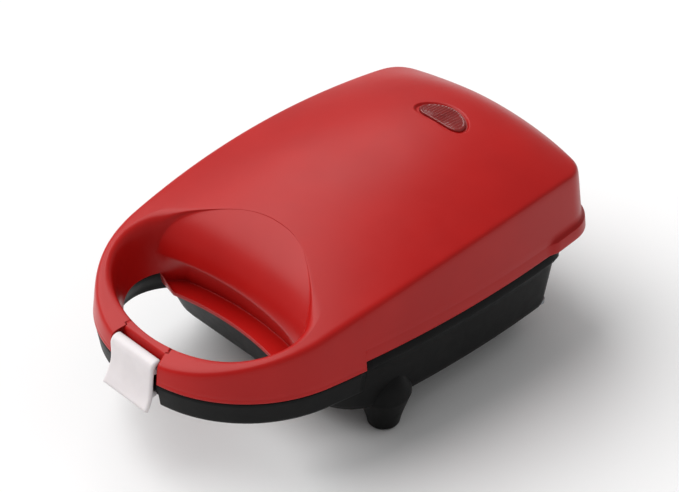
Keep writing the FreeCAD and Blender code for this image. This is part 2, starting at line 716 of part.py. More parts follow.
def legs(name, half, y):
    return bothSides(name, taper(name + "_right", half, y, "pad_proud", "foot_radius", "foot_radius + foot_spread",
                                 "base_bottom_z + 1 - pad_proud"))


footSpots = [("front", "foot_half", "-foot_y"), ("rear", "rear_foot_half", "rear_foot_y")]
baseLegs = [legs(tag + "_legs", half, y) for tag, half, y in footSpots]
padSeats = []
for tag, half, y in footSpots:
    padSeats.append(bothSides(tag + "_seats",
                              rod(tag + "_seat", "Z", half, y, "0", "pad_radius + 0.05", "pad_thick")))
frameFoot = "plate_mid_z - plate_gap / 2 - frame_thick"
basePosts = []
basePilots = []
for tag, x, y in screwSpots:
    basePosts.append(bothSides("base_posts_" + tag,
                               post("base_post_" + tag, x, y, "base_bottom_z + 1", frameFoot)))
    basePilots.append(bothSides("base_holes_" + tag, rod("base_hole_" + tag, "Z", x, y, "base_bottom_z - 1",
                                                         "screw_radius + 0.2", "40")))
    basePilots.append(bothSides("base_sinks_" + tag, rod("base_sink_" + tag, "Z", x, y, "base_bottom_z - 1",
                                                         "screw_head + 0.2", "3.5")))
hingeArm = fuse(
    "hinge_arm",
    rod("base_eye", "X", "hinge_half - running_gap / 2 - knuckle_width", "hinge_y", "hinge_z",
        "knuckle_radius",
        "knuckle_width"),
    block("arm_web", "hinge_half - running_gap / 2 - knuckle_width", "base_rear_y - 8", "hinge_z - 10",
          "knuckle_width", "hinge_y - base_rear_y + 8", "9"),
)
glandBore = rod("gland_bore", "Y", "0", "gland_y - 12", "gland_z", "gland_radius + 2.95", "30")
latchBay = block("latch_bay", "-notch_half", "-front_y - 2", "ring_bottom_z - 2", "2 * notch_half", "8.2",
                 "catch_z - ring_bottom_z + 2")
latchFace = block("latch_face", "-notch_half", "-front_y - 2", "ring_bottom_z - 2", "2 * notch_half",
                  "4.6", "20")
bayWalls = block("bay_walls", "-notch_half - housing_wall", "-front_y + 0.6", "ring_bottom_z + 0.5",
                 "2 * (notch_half + housing_wall)", "8.4", "parting_z - ring_bottom_z - 0.7")
basePlus = fuse("base_plus", baseRim, baseWell, ringHalf)
baseShell = cut("base_shell", basePlus, fuse("base_hollows", wellHollow, ringHollow))
baseFull = fuse("base_full", baseShell, *baseLegs, *basePosts, bothSides("hinge_arms", hingeArm), shared(
    "bay_inside", bayWalls, ringHalf))
lowerHousing = cut("lower_housing", baseFull, fuse(
    "base_cuts", *padSeats, *basePilots, glandBore, latchBay, latchFace,
    rod("base_pin_bore", "X", "-hinge_half - 20", "hinge_y", "hinge_z", "hinge_pin + pin_fit",
        "2 * hinge_half + 40")))

rubberPads = []
for tag, half, y in footSpots:
    rubberPads.append(bothSides(tag + "_pads",
                                rod(tag + "_pad", "Z", half, y, "0", "pad_radius", "pad_thick - 0.05")))
footPads = group("foot_pads", *rubberPads)

# ---------------------------------------------------------------- plate frames
def frameBody(name, low):
    body = newBody(name)
    pad(body, roundedPlate(body, name + "_outline", low, "frame_half", "frame_front_y", "frame_rear_y",
                           "frame_corner"), "frame_thick")
    pocket(body, roundedPlate(body, name + "_window", low, "plate_half + frame_fit", "plate_front_y + frame_fit",
                              "plate_rear_y + frame_fit", "plate_corner"), "frame_thick + 1", down=False)
    return body


frameHoles = []
for tag, x, y in screwSpots:
    frameHoles.append(bothSides("frame_holes_" + tag,
                                rod("frame_hole_" + tag, "Z", x, y, frameFoot + " - 1",
                                                          "screw_radius - 0.2", "frame_thick - 0.6")))
lowerFrame = cut("lower_frame", frameBody("lower_frame_blank", frameFoot), fuse("frame_holes", *frameHoles))
upperFrame = mirrored("upper_frame", lowerFrame, "Z", "plate_mid_z")

# ---------------------------------------------------------------- grill plates
# cast plate with a sunk pocket, cross ribs on its floor and a screw flange near its underside
plateTop = "plate_mid_z - plate_gap / 2"
plateFoot = plateTop + " - plate_depth"
plateBody = newBody("lower_plate")
pad(plateBody, roundedPlate(plateBody, "plate_outline", plateFoot, "plate_half", "plate_front_y", "plate_rear_y",
                            "plate_corner"), "plate_depth")
pad(plateBody, roundedPlate(plateBody, "plate_flange", plateFoot + " + 1.2", "plate_half + flange_width",
                            "plate_front_y + flange_width", "plate_rear_y + flange_width", "plate_corner"),
    "flange_thick")
pocket(plateBody, roundedPlate(plateBody, "plate_pocket", plateTop, "plate_half - plate_rim",
                               "plate_front_y - plate_rim", "plate_rear_y - plate_rim", "plate_corner"),
       "pocket_depth", "-14")
ribFloor = plateTop + " - pocket_depth - 0.2"
ribY = "-plate_front_y + plate_rim + 5"
ribSketch = profile(plateBody, "first_rib", "YZ_Plane", [
    (ribY, ribFloor),
    (ribY + " + rib_width", ribFloor),
    (ribY + " + rib_width - 1", ribFloor + " + rib_height"),
    (ribY + " + 1", ribFloor + " + rib_height"),
])
ribPad = pad(plateBody, ribSketch, "2 * (plate_half - plate_rim) - 4", middle=True)
ribRow = plateBody.newObject("PartDesign::LinearPattern", "grill_ribs")
ribRow.Originals = [ribPad]
ribRow.Direction = (ribSketch, ["H_Axis"])
ribCount = int((val("plate_rear_y + plate_front_y - 2 * plate_rim - 10 - rib_width")) // val("rib_pitch")) + 1
ribRow.Occurrences = ribCount
bind(ribRow, "Length", "rib_pitch * %d" % (ribCount - 1))
plateBody.Tip = ribRow
lowerPlate = plateBody
upperPlate = mirrored("upper_plate", lowerPlate, "Z", "plate_mid_z")

# ---------------------------------------------------------------- heating tubes
elementZ = plateFoot + " - element_gap - element_radius"


def elementTube(name):
    made = doc.addObject("Part::Feature", name)
    half = val("element_half")
    front = val("element_bend_y")
    rear = val("element_rear_y")
    height = val(elementZ)
    bend = Part.Arc(Vector(half, front, height), Vector(0, front - half, height),
                    Vector(-half, front, height))
    path = Part.Wire([
        Part.makeLine(Vector(half, rear, height), Vector(half, front, height)),
        bend.toShape(),
        Part.makeLine(Vector(-half, front, height), Vector(-half, rear, height)),
    ])
    ring = Part.Wire(Part.makeCircle(val("element_radius"), Vector(half, rear, height), Vector(0, 1, 0)))
    made.Shape = path.makePipeShell([ring], True, False, 1)
    return made


lowerElement = elementTube("lower_element")
upperElement = mirrored("upper_element", lowerElement, "Z", "plate_mid_z")
lowerStems = bothSides("lower_terminals", fuse(
    "terminal",
    rod("terminal_bead", "Y", "element_half", "element_rear_y", elementZ, "element_radius - 0.6", "4"),
    block("terminal_tab", "element_half - 0.4", "element_rear_y + 4", elementZ + " - 2.4", "0.8", "7",
          "4.8"),
))
upperStems = mirrored("upper_terminals", lowerStems, "Z", "plate_mid_z")


# ---------------------------------------------------------------- straps, shields and screws
strapTop = elementZ + " - element_radius - 0.1"
strapSpots = ["8", "46"]
straps = []
for i, y in enumerate(strapSpots):
    straps.append(block("strap_%d" % i, "-element_half - 5", y, strapTop + " - 1",
                        "2 * element_half + 10", "9", "1"))
strapRivets = []
for i, y in enumerate(strapSpots):
    strapRivets.append(rod("rivet_shank_%d" % i, "Z", "0", y + " + 4.5", strapTop + " - 1.2",
                           "screw_radius",
                           "2 * element_radius + 1.35"))
    strapRivets.append(rod("rivet_head_%d" % i, "Z", "0", y + " + 4.5", strapTop + " - 2.6", "screw_head",
                           "1.5"))
lowerRivets = group("lower_strap_screws",
                    *[fuse("strap_screw_%d" % i, strapRivets[2 * i], strapRivets[2 * i + 1])
                                            for i in range(len(strapSpots))])
strapHoles = [rod("strap_hole_%d" % i, "Z", "0", y + " + 4.5", strapTop + " - 2", "screw_radius + 0.1", "3")
              for i, y in enumerate(strapSpots)]
lowerStraps = group("lower_straps", *[cut("strap_cut_%d" % i, straps[i], strapHoles[i])
                                      for i in range(len(strapSpots))])
upperStraps = mirrored("upper_straps", lowerStraps, "Z", "plate_mid_z")
upperRivets = mirrored("upper_strap_screws", lowerRivets, "Z", "plate_mid_z")

shieldBody = newBody("lower_shield_tray")
shieldZ = plateFoot + " - shield_room"
pad(shieldBody, roundedPlate(shieldBody, "shield_outline", shieldZ, "plate_half - 6", "plate_front_y - 9",
                             "plate_rear_y - 9", "plate_corner"), "3")
pocket(shieldBody, roundedPlate(shieldBody, "shield_inside", shieldZ + " + 3", "plate_half - 6 - shield_thick",
                                "plate_front_y - 9 - shield_thick", "plate_rear_y - 9 - shield_thick",
                                "plate_corner"), "3 - shield_thick")
lowerShield = shieldBody
lowerShield.Label = "lower_heat_shield"
upperShield = mirrored("upper_heat_shield", lowerShield, "Z", "plate_mid_z")

baseScrews = []
lidScrews = []
for tag, x, y in screwSpots:
    shank = "frame_thick - 1.8 + " + frameFoot + " - (base_bottom_z + 2.6)"
    baseScrews.append(bothSides("base_screw_pair_" + tag, fuse(
        "base_screw_" + tag,
        rod("base_screw_shank_" + tag, "Z", x, y, "base_bottom_z + 2.4", "screw_radius - 0.2", shank),
        rod("base_screw_head_" + tag, "Z", x, y, "base_bottom_z + 0.6", "screw_head", "1.85"))))
lowerScrews = group("base_screws", *baseScrews)

# screws that hold the upper frame to the posts in the lid, and their holes in the frame
for tag, x, y in screwSpots:
    lidScrews.append(bothSides("lid_screw_pair_" + tag,
                               rod("lid_screw_" + tag, "Z", x, y, frameTop + " - 2",
                                                            "screw_radius - 0.2", "10")))
upperScrews = group("lid_screws", *lidScrews)

# ---------------------------------------------------------------- hinge pins
hingePins = bothSides("hinge_pins",
                      rod("hinge_pin_right", "X", "hinge_half - running_gap / 2 - knuckle_width",
                                        "hinge_y", "hinge_z", "hinge_pin",
                                        "2 * knuckle_width + running_gap"))

# ---------------------------------------------------------------- latch
# side view: barrel round the pin, a plate that hangs down and flares into a finger lip, and a
# hook that reaches under the catch
latchBody = newBody("latch_plate")
barrelFront = "-latch_y - latch_barrel"
plateSection = profile(latchBody, "latch_section", "YZ_Plane", [
    ("-latch_y", "latch_z + latch_barrel"),
    (barrelFront, "latch_z"),
    (barrelFront + " - 0.9", "catch_z + 2"),
    ("-latch_tip_y", "latch_tip_z"),
    ("-latch_tip_y + 1.6", "latch_tip_z - 0.6"),
    (barrelFront + " + latch_thick - 0.6", "catch_z - 1"),
    (barrelFront + " + latch_thick", "latch_z"),
    ("-latch_y", "latch_z"),
], {0: ("latch_barrel", 1)})
pad(latchBody, plateSection, "2 * latch_half", middle=True)
hookBody = newBody("latch_hook")
hookSection = profile(hookBody, "hook_section", "YZ_Plane", [
    (barrelFront + " + 1", "catch_z"),
    (barrelFront + " + 1", "catch_z - 4"),
    ("-front_y + 2.2", "catch_z - 3.2"),
    ("-front_y + 4.6", "catch_z - 0.4"),
    ("-front_y + 1.4", "catch_z - 0.4"),
    ("-front_y + 1.2", "catch_z + 0.4"),
])
pad(hookBody, hookSection, "2 * latch_half - 6", middle=True)
latchBarrel = rod("latch_barrel_rod", "X", "-latch_half", "-latch_y", "latch_z", "latch_barrel",
                  "2 * latch_half")
latch = cut("latch", fuse("latch_blank", latchBody, latchBarrel, hookBody),
            rod("latch_hole", "X", "-latch_half - 1", "-latch_y", "latch_z", "latch_pin + pin_fit",
                "2 * latch_half + 2"))
latchPin = rod("latch_pin_rod", "X", "-notch_half - latch_pin_seat", "-latch_y", "latch_z", "latch_pin",
               "2 * (notch_half + latch_pin_seat)")
latchPin.Label = "latch_spindle"

# ---------------------------------------------------------------- indicator lamp
lens = shared("indicator_lens", lensSolid("lens_block", "0", "crown_z - lens_height", "20"),
              underCrown("lens_top", 0.35))
lampY = "lens_front_y + 0.5 * lens_depth"
lampHolder = cut(
    "lamp_holder",
    block("holder_block", "-9", lampY + " - 4", "crown_z - lens_height - 7.4", "18", "8", "7.4"),
    rod("holder_bore", "X", "-10", lampY, "crown_z - lens_height - 3.6", "lamp_glass + 0.05", "20"),
)
lampZ = "crown_z - lens_height - 3.6"
lampTip = doc.addObject("Part::Sphere", "lamp_tip")
bind(lampTip, "Radius", "lamp_glass")
place(lampTip, "5.5", lampY, lampZ)
lampGlass = fuse("neon_lamp", rod("lamp_tube", "X", "-6.5", lampY, lampZ, "lamp_glass", "12"), lampTip)

# ---------------------------------------------------------------- controls and wiring
thermostat = fuse(
    "thermostat",
    rod("thermostat_can", "Z", "0", "32", plateFoot + " - 8.1", "8", "8"),
    block("thermostat_tab_front", "-2.5", "19", plateFoot + " - 8.1", "5", "6", "0.8"),
    block("thermostat_tab_rear", "-2.5", "39", plateFoot + " - 8.1", "5", "6", "0.8"),
)
fuseZ = "plate_mid_z + plate_gap / 2 + plate_depth + 2.6"
thermalFuse = fuse("thermal_fuse", rod("fuse_body", "X", "-6", "32", fuseZ, "2", "12"),
                   rod("fuse_leads", "X", "-14", "32", fuseZ, "0.5", "28"))
fuseSleeve = cut("fuse_sleeve", rod("sleeve_outside", "X", "-10", "32", fuseZ, "2.5", "20"),
                 rod("sleeve_inside", "X", "-11", "32", fuseZ, "2.05", "22"))
blockZ = "base_bottom_z + housing_wall + 0.1"
terminalBlock = cut(
    "terminal_block",
    block("terminal_body", "12", "56", blockZ, "24", "12", "7.4"),
    fuse("terminal_wells", *[rod("terminal_well_%d" % i, "Z", "16 + %d * 8" % i, "62", blockZ + " + 2",
                                 "2", "8") for i in range(3)]),
)
terminalScrews = group("terminal_screws", *[rod("terminal_screw_%d" % i, "Z", "16 + %d * 8" % i, "62",
                                                blockZ + " + 2.05", "1.9", "2.5") for i in range(3)])
gland = cut(
    "cord_gland",
    fuse("gland_solid",
         rod("gland_neck", "Y", "0", "gland_y - 7", "gland_z", "gland_radius + 2.9", "9"),
         rod("gland_flange", "Y", "0", "gland_y", "gland_z", "gland_radius + 4.2", "2.6")),
    rod("gland_hole", "Y", "0", "gland_y - 8", "gland_z", "gland_radius", "20"),
)
cordClamp = fuse(
    "cord_clamp",
    block("clamp_bar", "-9", "69", "gland_z - 6.4", "18", "6", "2.4"),
    bothSides("clamp_feet", block("clamp_foot", "6", "69", blockZ, "3", "6", "gland_z - 6.4 - (" + blockZ + ")")),
)


# a wire along straight runs joined by tangent bends
def wire(name, radius, bend, spots):
    points = [Vector(val(x), val(y), val(z)) for x, y, z in spots]
    edges = []
    start = points[0]
    for before, corner, after in zip(points, points[1:], points[2:]):
        into = (corner - before).normalize()
        out = (after - corner).normalize()
        half = math.acos(max(-1, min(1, into.dot(out)))) / 2
        reach = bend * math.tan(half)
        first = corner - into * reach
        last = corner + out * reach
        middle = corner + (out - into).normalize() * (bend / math.cos(half) - bend)
        edges.append(Part.makeLine(start, first))
        edges.append(Part.Arc(first, middle, last).toShape())
        start = last
    edges.append(Part.makeLine(start, points[-1]))
    path = Part.Wire(edges)
    ring = Part.Wire(Part.makeCircle(radius, points[0], (points[1] - points[0])))
    made = doc.addObject("Part::Feature", name)
    made.Shape = path.makePipeShell([ring], True, False, 1)
    return made


wireZ = blockZ + " + 3.6"
baseWires = group(
    "base_wires",
    wire("wire_live", 1.1, 4, [("36.2", "62", wireZ), ("45", "62", wireZ), ("45", "wire_rear_y", wireZ),
                               ("45", "wire_rear_y", elementZ), ("30.6", "wire_rear_y", elementZ)]),
    wire("wire_link", 1.1, 4, [("11.8", "62", wireZ), ("-45", "62", wireZ), ("-45", "wire_rear_y", wireZ),
                               ("-45", "wire_rear_y", elementZ), ("-30.6", "wire_rear_y", elementZ)]),
)
wireSleeve = cut("wire_sleeve", rod("sleeve_tube", "X", "-24", "hinge_y", "hinge_z", "2.6", "48"),
                 rod("sleeve_bore", "X", "-25", "hinge_y", "hinge_z", "1.9", "50"))

# ---------------------------------------------------------------- check and write
nodes = {
    "upper_housing": upperHousing, "lower_housing": lowerHousing, "upper_frame": upperFrame,
    "lower_frame": lowerFrame, "upper_plate": upperPlate, "lower_plate": lowerPlate,
    "upper_element": upperElement, "lower_element": lowerElement, "upper_terminals": upperStems,
    "lower_terminals": lowerStems, "upper_straps": upperStraps, "lower_straps": lowerStraps,
    "upper_strap_screws": upperRivets, "lower_strap_screws": lowerRivets,
    "upper_heat_shield": upperShield, "lower_heat_shield": lowerShield, "base_screws": lowerScrews,
    "lid_screws": upperScrews, "foot_pads": footPads, "hinge_pins": hingePins, "latch": latch,
    "latch_spindle": latchPin, "indicator_lens": lens, "lamp_holder": lampHolder, "neon_lamp": lampGlass,
    "thermostat": thermostat, "thermal_fuse": thermalFuse, "fuse_sleeve": fuseSleeve,
    "terminal_block": terminalBlock, "terminal_screws": terminalScrews, "cord_gland": gland,
    "cord_clamp": cordClamp, "base_wires": baseWires, "wire_sleeve": wireSleeve,
}
doc.recompute()
for item in doc.Objects:
    if "Invalid" in item.State or "Error" in item.State:
        raise RuntimeError("failed object: " + item.Name)
for name, item in nodes.items():
    item.Label = name
    if item.Shape.isNull() or not item.Shape.isValid() or item.Shape.Volume <= 0:
        raise RuntimeError("bad shape: " + name)
os.makedirs("parts", exist_ok=True)
for name, item in nodes.items():
    item.Shape.exportStep("parts/" + name + ".step")
print(len(nodes), "nodes written")
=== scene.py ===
import bmesh
import bpy
import json
import math
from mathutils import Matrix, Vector


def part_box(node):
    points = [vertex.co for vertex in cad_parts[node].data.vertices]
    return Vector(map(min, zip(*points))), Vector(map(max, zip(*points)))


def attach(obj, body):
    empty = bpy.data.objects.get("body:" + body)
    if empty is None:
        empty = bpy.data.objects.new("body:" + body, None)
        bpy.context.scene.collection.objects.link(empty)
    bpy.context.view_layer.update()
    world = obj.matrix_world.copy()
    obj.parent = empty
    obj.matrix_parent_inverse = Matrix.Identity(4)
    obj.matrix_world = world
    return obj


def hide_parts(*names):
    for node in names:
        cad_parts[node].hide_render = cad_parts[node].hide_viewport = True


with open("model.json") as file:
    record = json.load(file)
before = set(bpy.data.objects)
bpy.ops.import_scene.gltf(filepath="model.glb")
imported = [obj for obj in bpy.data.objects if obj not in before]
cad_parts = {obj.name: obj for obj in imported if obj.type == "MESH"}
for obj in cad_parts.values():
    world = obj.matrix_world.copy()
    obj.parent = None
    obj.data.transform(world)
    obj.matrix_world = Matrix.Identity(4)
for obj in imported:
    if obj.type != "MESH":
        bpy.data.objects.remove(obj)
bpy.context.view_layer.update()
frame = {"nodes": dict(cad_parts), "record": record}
mm = 0.001

# plan outline and heights of the press, in millimetres, with the driving ends read from the frame
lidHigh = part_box("upper_housing")[1] / mm
press = {
    "halfWidth": 66.6,                 # at the parting, where the walls are widest
    "widestY": 13.4,                   # where the sides are widest
    "sideRadius": 520,                 # slow curve of each side
    "frontY": -105,                    # front of the ring
    "frontRadius": 80,
    "ringRadius": 58,                  # where side turns into ring
    "rearY": lidHigh.y - 1.4,          # rear edge, without its lip
    "rearRadius": 185,
    "rearCorner": 18,
    "partingZ": 43.2,                  # where the halves of the ring meet
    "edgeZ": 47.5,                     # lower edge of the lid behind the ring
    "stepY": -36,                      # the step between those two
    "openingY": -62.65,                # middle of the finger opening
    "crownZ": 88.3,
    "crownY": 68,                      # where the crown is highest
    "crownBend": 0.00124,              # fall of its middle line towards the front, per mm squared
    "shoulder": (74.5, 0.1076, -0.0009),    # height of the shoulder: at y 0, per mm and per mm squared
    "shoulderInset": 3.45,             # shoulder from the outline
    "breakWidth": 0.00004,             # radians from a sharp place to its stations
}


# centre of a small circle that touches two larger ones from inside, on the side asked for
def centreInside(first, firstRadius, second, secondRadius, small, side):
    reachA = firstRadius - small
    reachB = secondRadius - small
    across = Vector(second) - Vector(first)
    span = across.length
    along = (reachA ** 2 - reachB ** 2 + span ** 2) / (2 * span)
    away = math.sqrt(reachA ** 2 - along ** 2)
    unit = across / span
    return Vector(first) + unit * along + Vector((-unit.y, unit.x)) * away * side


def heading(start, end):
    return math.atan2(end[1] - start[1], end[0] - start[0])


# the outline's arcs: centre, radius, first and last angle, anticlockwise from the front
def outlineArcs(rearY, cornerRadius):
    side = (press["halfWidth"] - press["sideRadius"], press["widestY"])
    back = (0, rearY - press["rearRadius"])
    front = (0, press["frontRadius"] + press["frontY"])
    corner = centreInside(side, press["sideRadius"], back, press["rearRadius"], cornerRadius, 1)
    ring = centreInside(side, press["sideRadius"], front, press["frontRadius"], press["ringRadius"], -1)
    turnRing = heading(front, ring)
    turnLow = heading(side, ring)
    turnHigh = heading(side, corner)
    turnBack = heading(back, corner)
    return [
        (front, press["frontRadius"], -math.pi / 2, turnRing),
        (ring, press["ringRadius"], turnRing, turnLow),
        (side, press["sideRadius"], turnLow, turnHigh),
        (corner, cornerRadius, turnHigh, turnBack),
        (back, press["rearRadius"], turnBack, math.pi / 2),
    ]


# stations round the right half of an outline, front to rear: arc and angle. breaks are sharp
# places, each given as an axis and a value, that get a station on either side
def stations(arcs, spacing, breaks):
    found = []
    for arc in arcs:
        centre, radius, first, last = arc
        steps = max(3, round((last - first) * radius / spacing))
        turns = [first + (last - first) * i / steps for i in range(steps + 1)]
        for axis, value in breaks:
            reach = (value - centre[axis]) / radius
            if abs(reach) > 1:
                continue
            turn = math.acos(reach) if axis == 0 else math.asin(reach)
            for option in (turn, -turn):
                if first < option < last:
                    turns += [option - press["breakWidth"], option + press["breakWidth"]]
        turns.sort()
        found += [(arc, turn) for turn in turns[:-1]]
    found.append((arcs[-1], math.pi / 2))
    return found


def onOutline(station, inset):
    (centre, radius, _, _), turn = station
    reach = radius - inset
    return Vector((centre[0] + reach * math.cos(turn), centre[1] + reach * math.sin(turn)))


# height of the lid's skin: a shoulder line along the sides and a crowned middle line over it
def crownHeight(x, y):
    level, slope, bend = press["shoulder"]
    shoulder = level + slope * y + bend * y * y
    middle = press["crownZ"] - press["crownBend"] * (press["crownY"] - y) ** 2
    rise = (press["crownZ"] if y > press["crownY"] else middle) - shoulder
    bulge = (y - press["widestY"]) ** 2 / (2 * press["sideRadius"])
    side = press["halfWidth"] - press["shoulderInset"] - bulge
    if y < press["openingY"]:
        side = max(side, press["ringRadius"])
    rise *= max(1 - (x / side) ** 2, -0.3)
    if y > press["crownY"]:
        rear = press["rearY"] - press["shoulderInset"] - x * x / (2 * press["rearRadius"])
        rise *= max(1 - ((y - press["crownY"]) / (rear - press["crownY"])) ** 3, -0.3)
    return shoulder + rise


# turns points in millimetres and faces into an object of the scene
def newPiece(name, points, faces):
    mesh = bpy.data.meshes.new(name)
    mesh.from_pydata([Vector(point) * mm for point in points], [], faces)
    mesh.update()
    piece = bpy.data.objects.new(name, mesh)
    bpy.context.scene.collection.objects.link(piece)
    mesh.shade_smooth()
    return piece


def mirrored(columns):
    return [[Vector((-point.x, point.y, point.z)) for point in column] for column in columns]


# an outline seen from the side, given a width: its corners and its faces, numbered from start
def prism(outline, ends, start=0):
    count = len(outline)
    far = start + count
    points = [(x, y, z) for x in ends for y, z in outline]
    faces = []
    for k in range(count):
        n = (k + 1) % count
        faces.append((start + k, start + n, far + n, far + k))
    faces += [tuple(range(start, far)), tuple(range(far, far + count))]
    return points, faces


def roundEdges(piece, width, segments):
    rounding = piece.modifiers.new("rounding", "BEVEL")
    rounding.width = width * mm
    rounding.segments = segments


# the last place between low and high that is still inside, by halving
def lastInside(low, high, inside):
    for _ in range(30):
        middle = (low + high) / 2
        if inside(middle):
            low = middle
        else:
            high = middle
    return low


# joins columns of equally many points into a skin; closed joins the last column to the first
def skin(columns, closed):
    rows = len(columns[0])
    points = [point for column in columns for point in column]
    faces = []
    count = len(columns)
    for i in range(count if closed else count - 1):
        j = (i + 1) % count
        for k in range(rows - 1):
            faces.append((i * rows + k, j * rows + k, j * rows + k + 1, i * rows + k + 1))
    return points, faces


# cleans a piece's mesh: welds doubles, drops empty faces and turns all faces outwards
def tidyMesh(piece, weld=0.02):
    work = bmesh.new()
    work.from_mesh(piece.data)
    bmesh.ops.remove_doubles(work, verts=work.verts, dist=weld * mm)
    bmesh.ops.dissolve_degenerate(work, edges=work.edges, dist=0.005 * mm)
    bmesh.ops.recalc_face_normals(work, faces=work.faces)
    work.to_mesh(piece.data)
    work.free()
    piece.data.shade_smooth()


# distances from an end where a run is sampled closely, so that a corner there can be softened
closeSteps = [0.5, 1.0, 1.5, 2.0, 2.6, 3.3]


# places along a run of a given length, close together at the ends that are asked for
def alongRun(length, middle, nearStart=True, nearEnd=True):
    scale = min(1, 0.42 * length / closeSteps[-1])
    start = [step * scale / length for step in closeSteps] if nearStart else []
    end = [1 - step * scale / length for step in reversed(closeSteps)] if nearEnd else []
    low = start[-1] if start else 0
    high = end[0] if end else 1
    between = [low + (high - low) * i / (middle + 1) for i in range(1, middle + 1)]
    return start + between + end


def ease(value, low, high):
    share = min(1, max(0, (value - low) / (high - low)))
    return share * share * (3 - 2 * share)


# softens a column of points: weights say how much each row gives way
def soften(column, weights, rounds):
    for _ in range(rounds):
        column = [
            point if not weight else point.lerp((column[i - 1] + column[(i + 1) % len(column)]) / 2, weight)
            for i, (point, weight) in enumerate(zip(column, weights))
        ]
    return column


lid = {
    "draft": 6.3,              # degrees, outer wall
    "wall": 2.2,               # thickness of the moulding
    "spacing": 2.2,            # between columns of the mesh
    "shoulderRounds": 20,      # softening of the shoulder
    "shoulderReach": 5,        # how far from the shoulder line it is felt
    "creaseRounds": 7,         # softening of the crease behind the palm roll
    "pocketRounds": 90,        # softening of the pocket's upper edge
    "edgeRounds": 1,           # softening of the roll's lower edge
    "openingHalf": 44,         # finger opening at the parting
    "openingReach": 29.35,
    "loopHalf": 49.6,          # finger opening at the top
    "loopFront": 32.1,
    "loopRear": 37.15,
    "loopDrawnIn": 0.09,       # how much its rear corners are drawn in
    "rollAxisY": -190.3,       # axis that the palm roll is turned about
    "rollRadius": 143,         # to the roll's lower edge
    "rollBottomZ": 52.3,
    "rollCentre": (176.98, 44.33),
    "rollBulge": 34.9,
    "undercut": 5.6,           # how far the wall under the roll falls back
    "shelfZ": 38.2,            # top of the small shelf below that wall
    "shelfReach": 9.3,
    "shelfThick": 1.8,
    "innerTopZ": 49,           # where the skin ends inside the shelf's wall
    "notchHalf": 14.5,         # notch for the latch
    "notchBackY": -97.7,
    "lipFlare": 1.4,           # rear lip
    "lipHeight": 5.4,
    "lipStartY": 70,
    "slotX": (35.4, 42.2),     # slots in the rear wall that the hinge arms come through
    "slotTopZ": 55.6,
}


def ovalReach(turn, half, reach):
    return half * reach / math.hypot(reach * math.cos(turn), half * math.sin(turn))


# the finger opening's top edge: an oval whose rear is drawn in at its corners
def loopReach(turn):
    if math.sin(turn) < 0:
        return ovalReach(turn, lid["loopHalf"], lid["loopFront"])
    drawnIn = lid["loopDrawnIn"] * math.sin(2 * turn) ** 2 * abs(math.cos(turn))
    return ovalReach(turn, lid["loopHalf"], lid["loopRear"]) * (1 - drawnIn)


def fromOpening(turn, reach, z):
    return Vector((reach * math.cos(turn), press["openingY"] + reach * math.sin(turn), z))


# how far a ray from the opening's middle goes before it meets a circle about the roll's axis
def toRoll(turn, radius):
    apart = press["openingY"] - lid["rollAxisY"]
    lean = apart * math.sin(turn)
    return -lean + math.sqrt(lean * lean + radius ** 2 - apart ** 2)


def rollHeight(point):
    reach = math.hypot(point.x, point.y - lid["rollAxisY"])
    inside = lid["rollBulge"] ** 2 - (lid["rollCentre"][0] - reach) ** 2
    return lid["rollCentre"][1] + math.sqrt(max(inside, 0))


# how much a point of the shoulder gives way, by its distance from the shoulder line
def shoulderGive(away):
    return 0.6 * max(0, 1 - (away / lid["shoulderReach"]) ** 2)


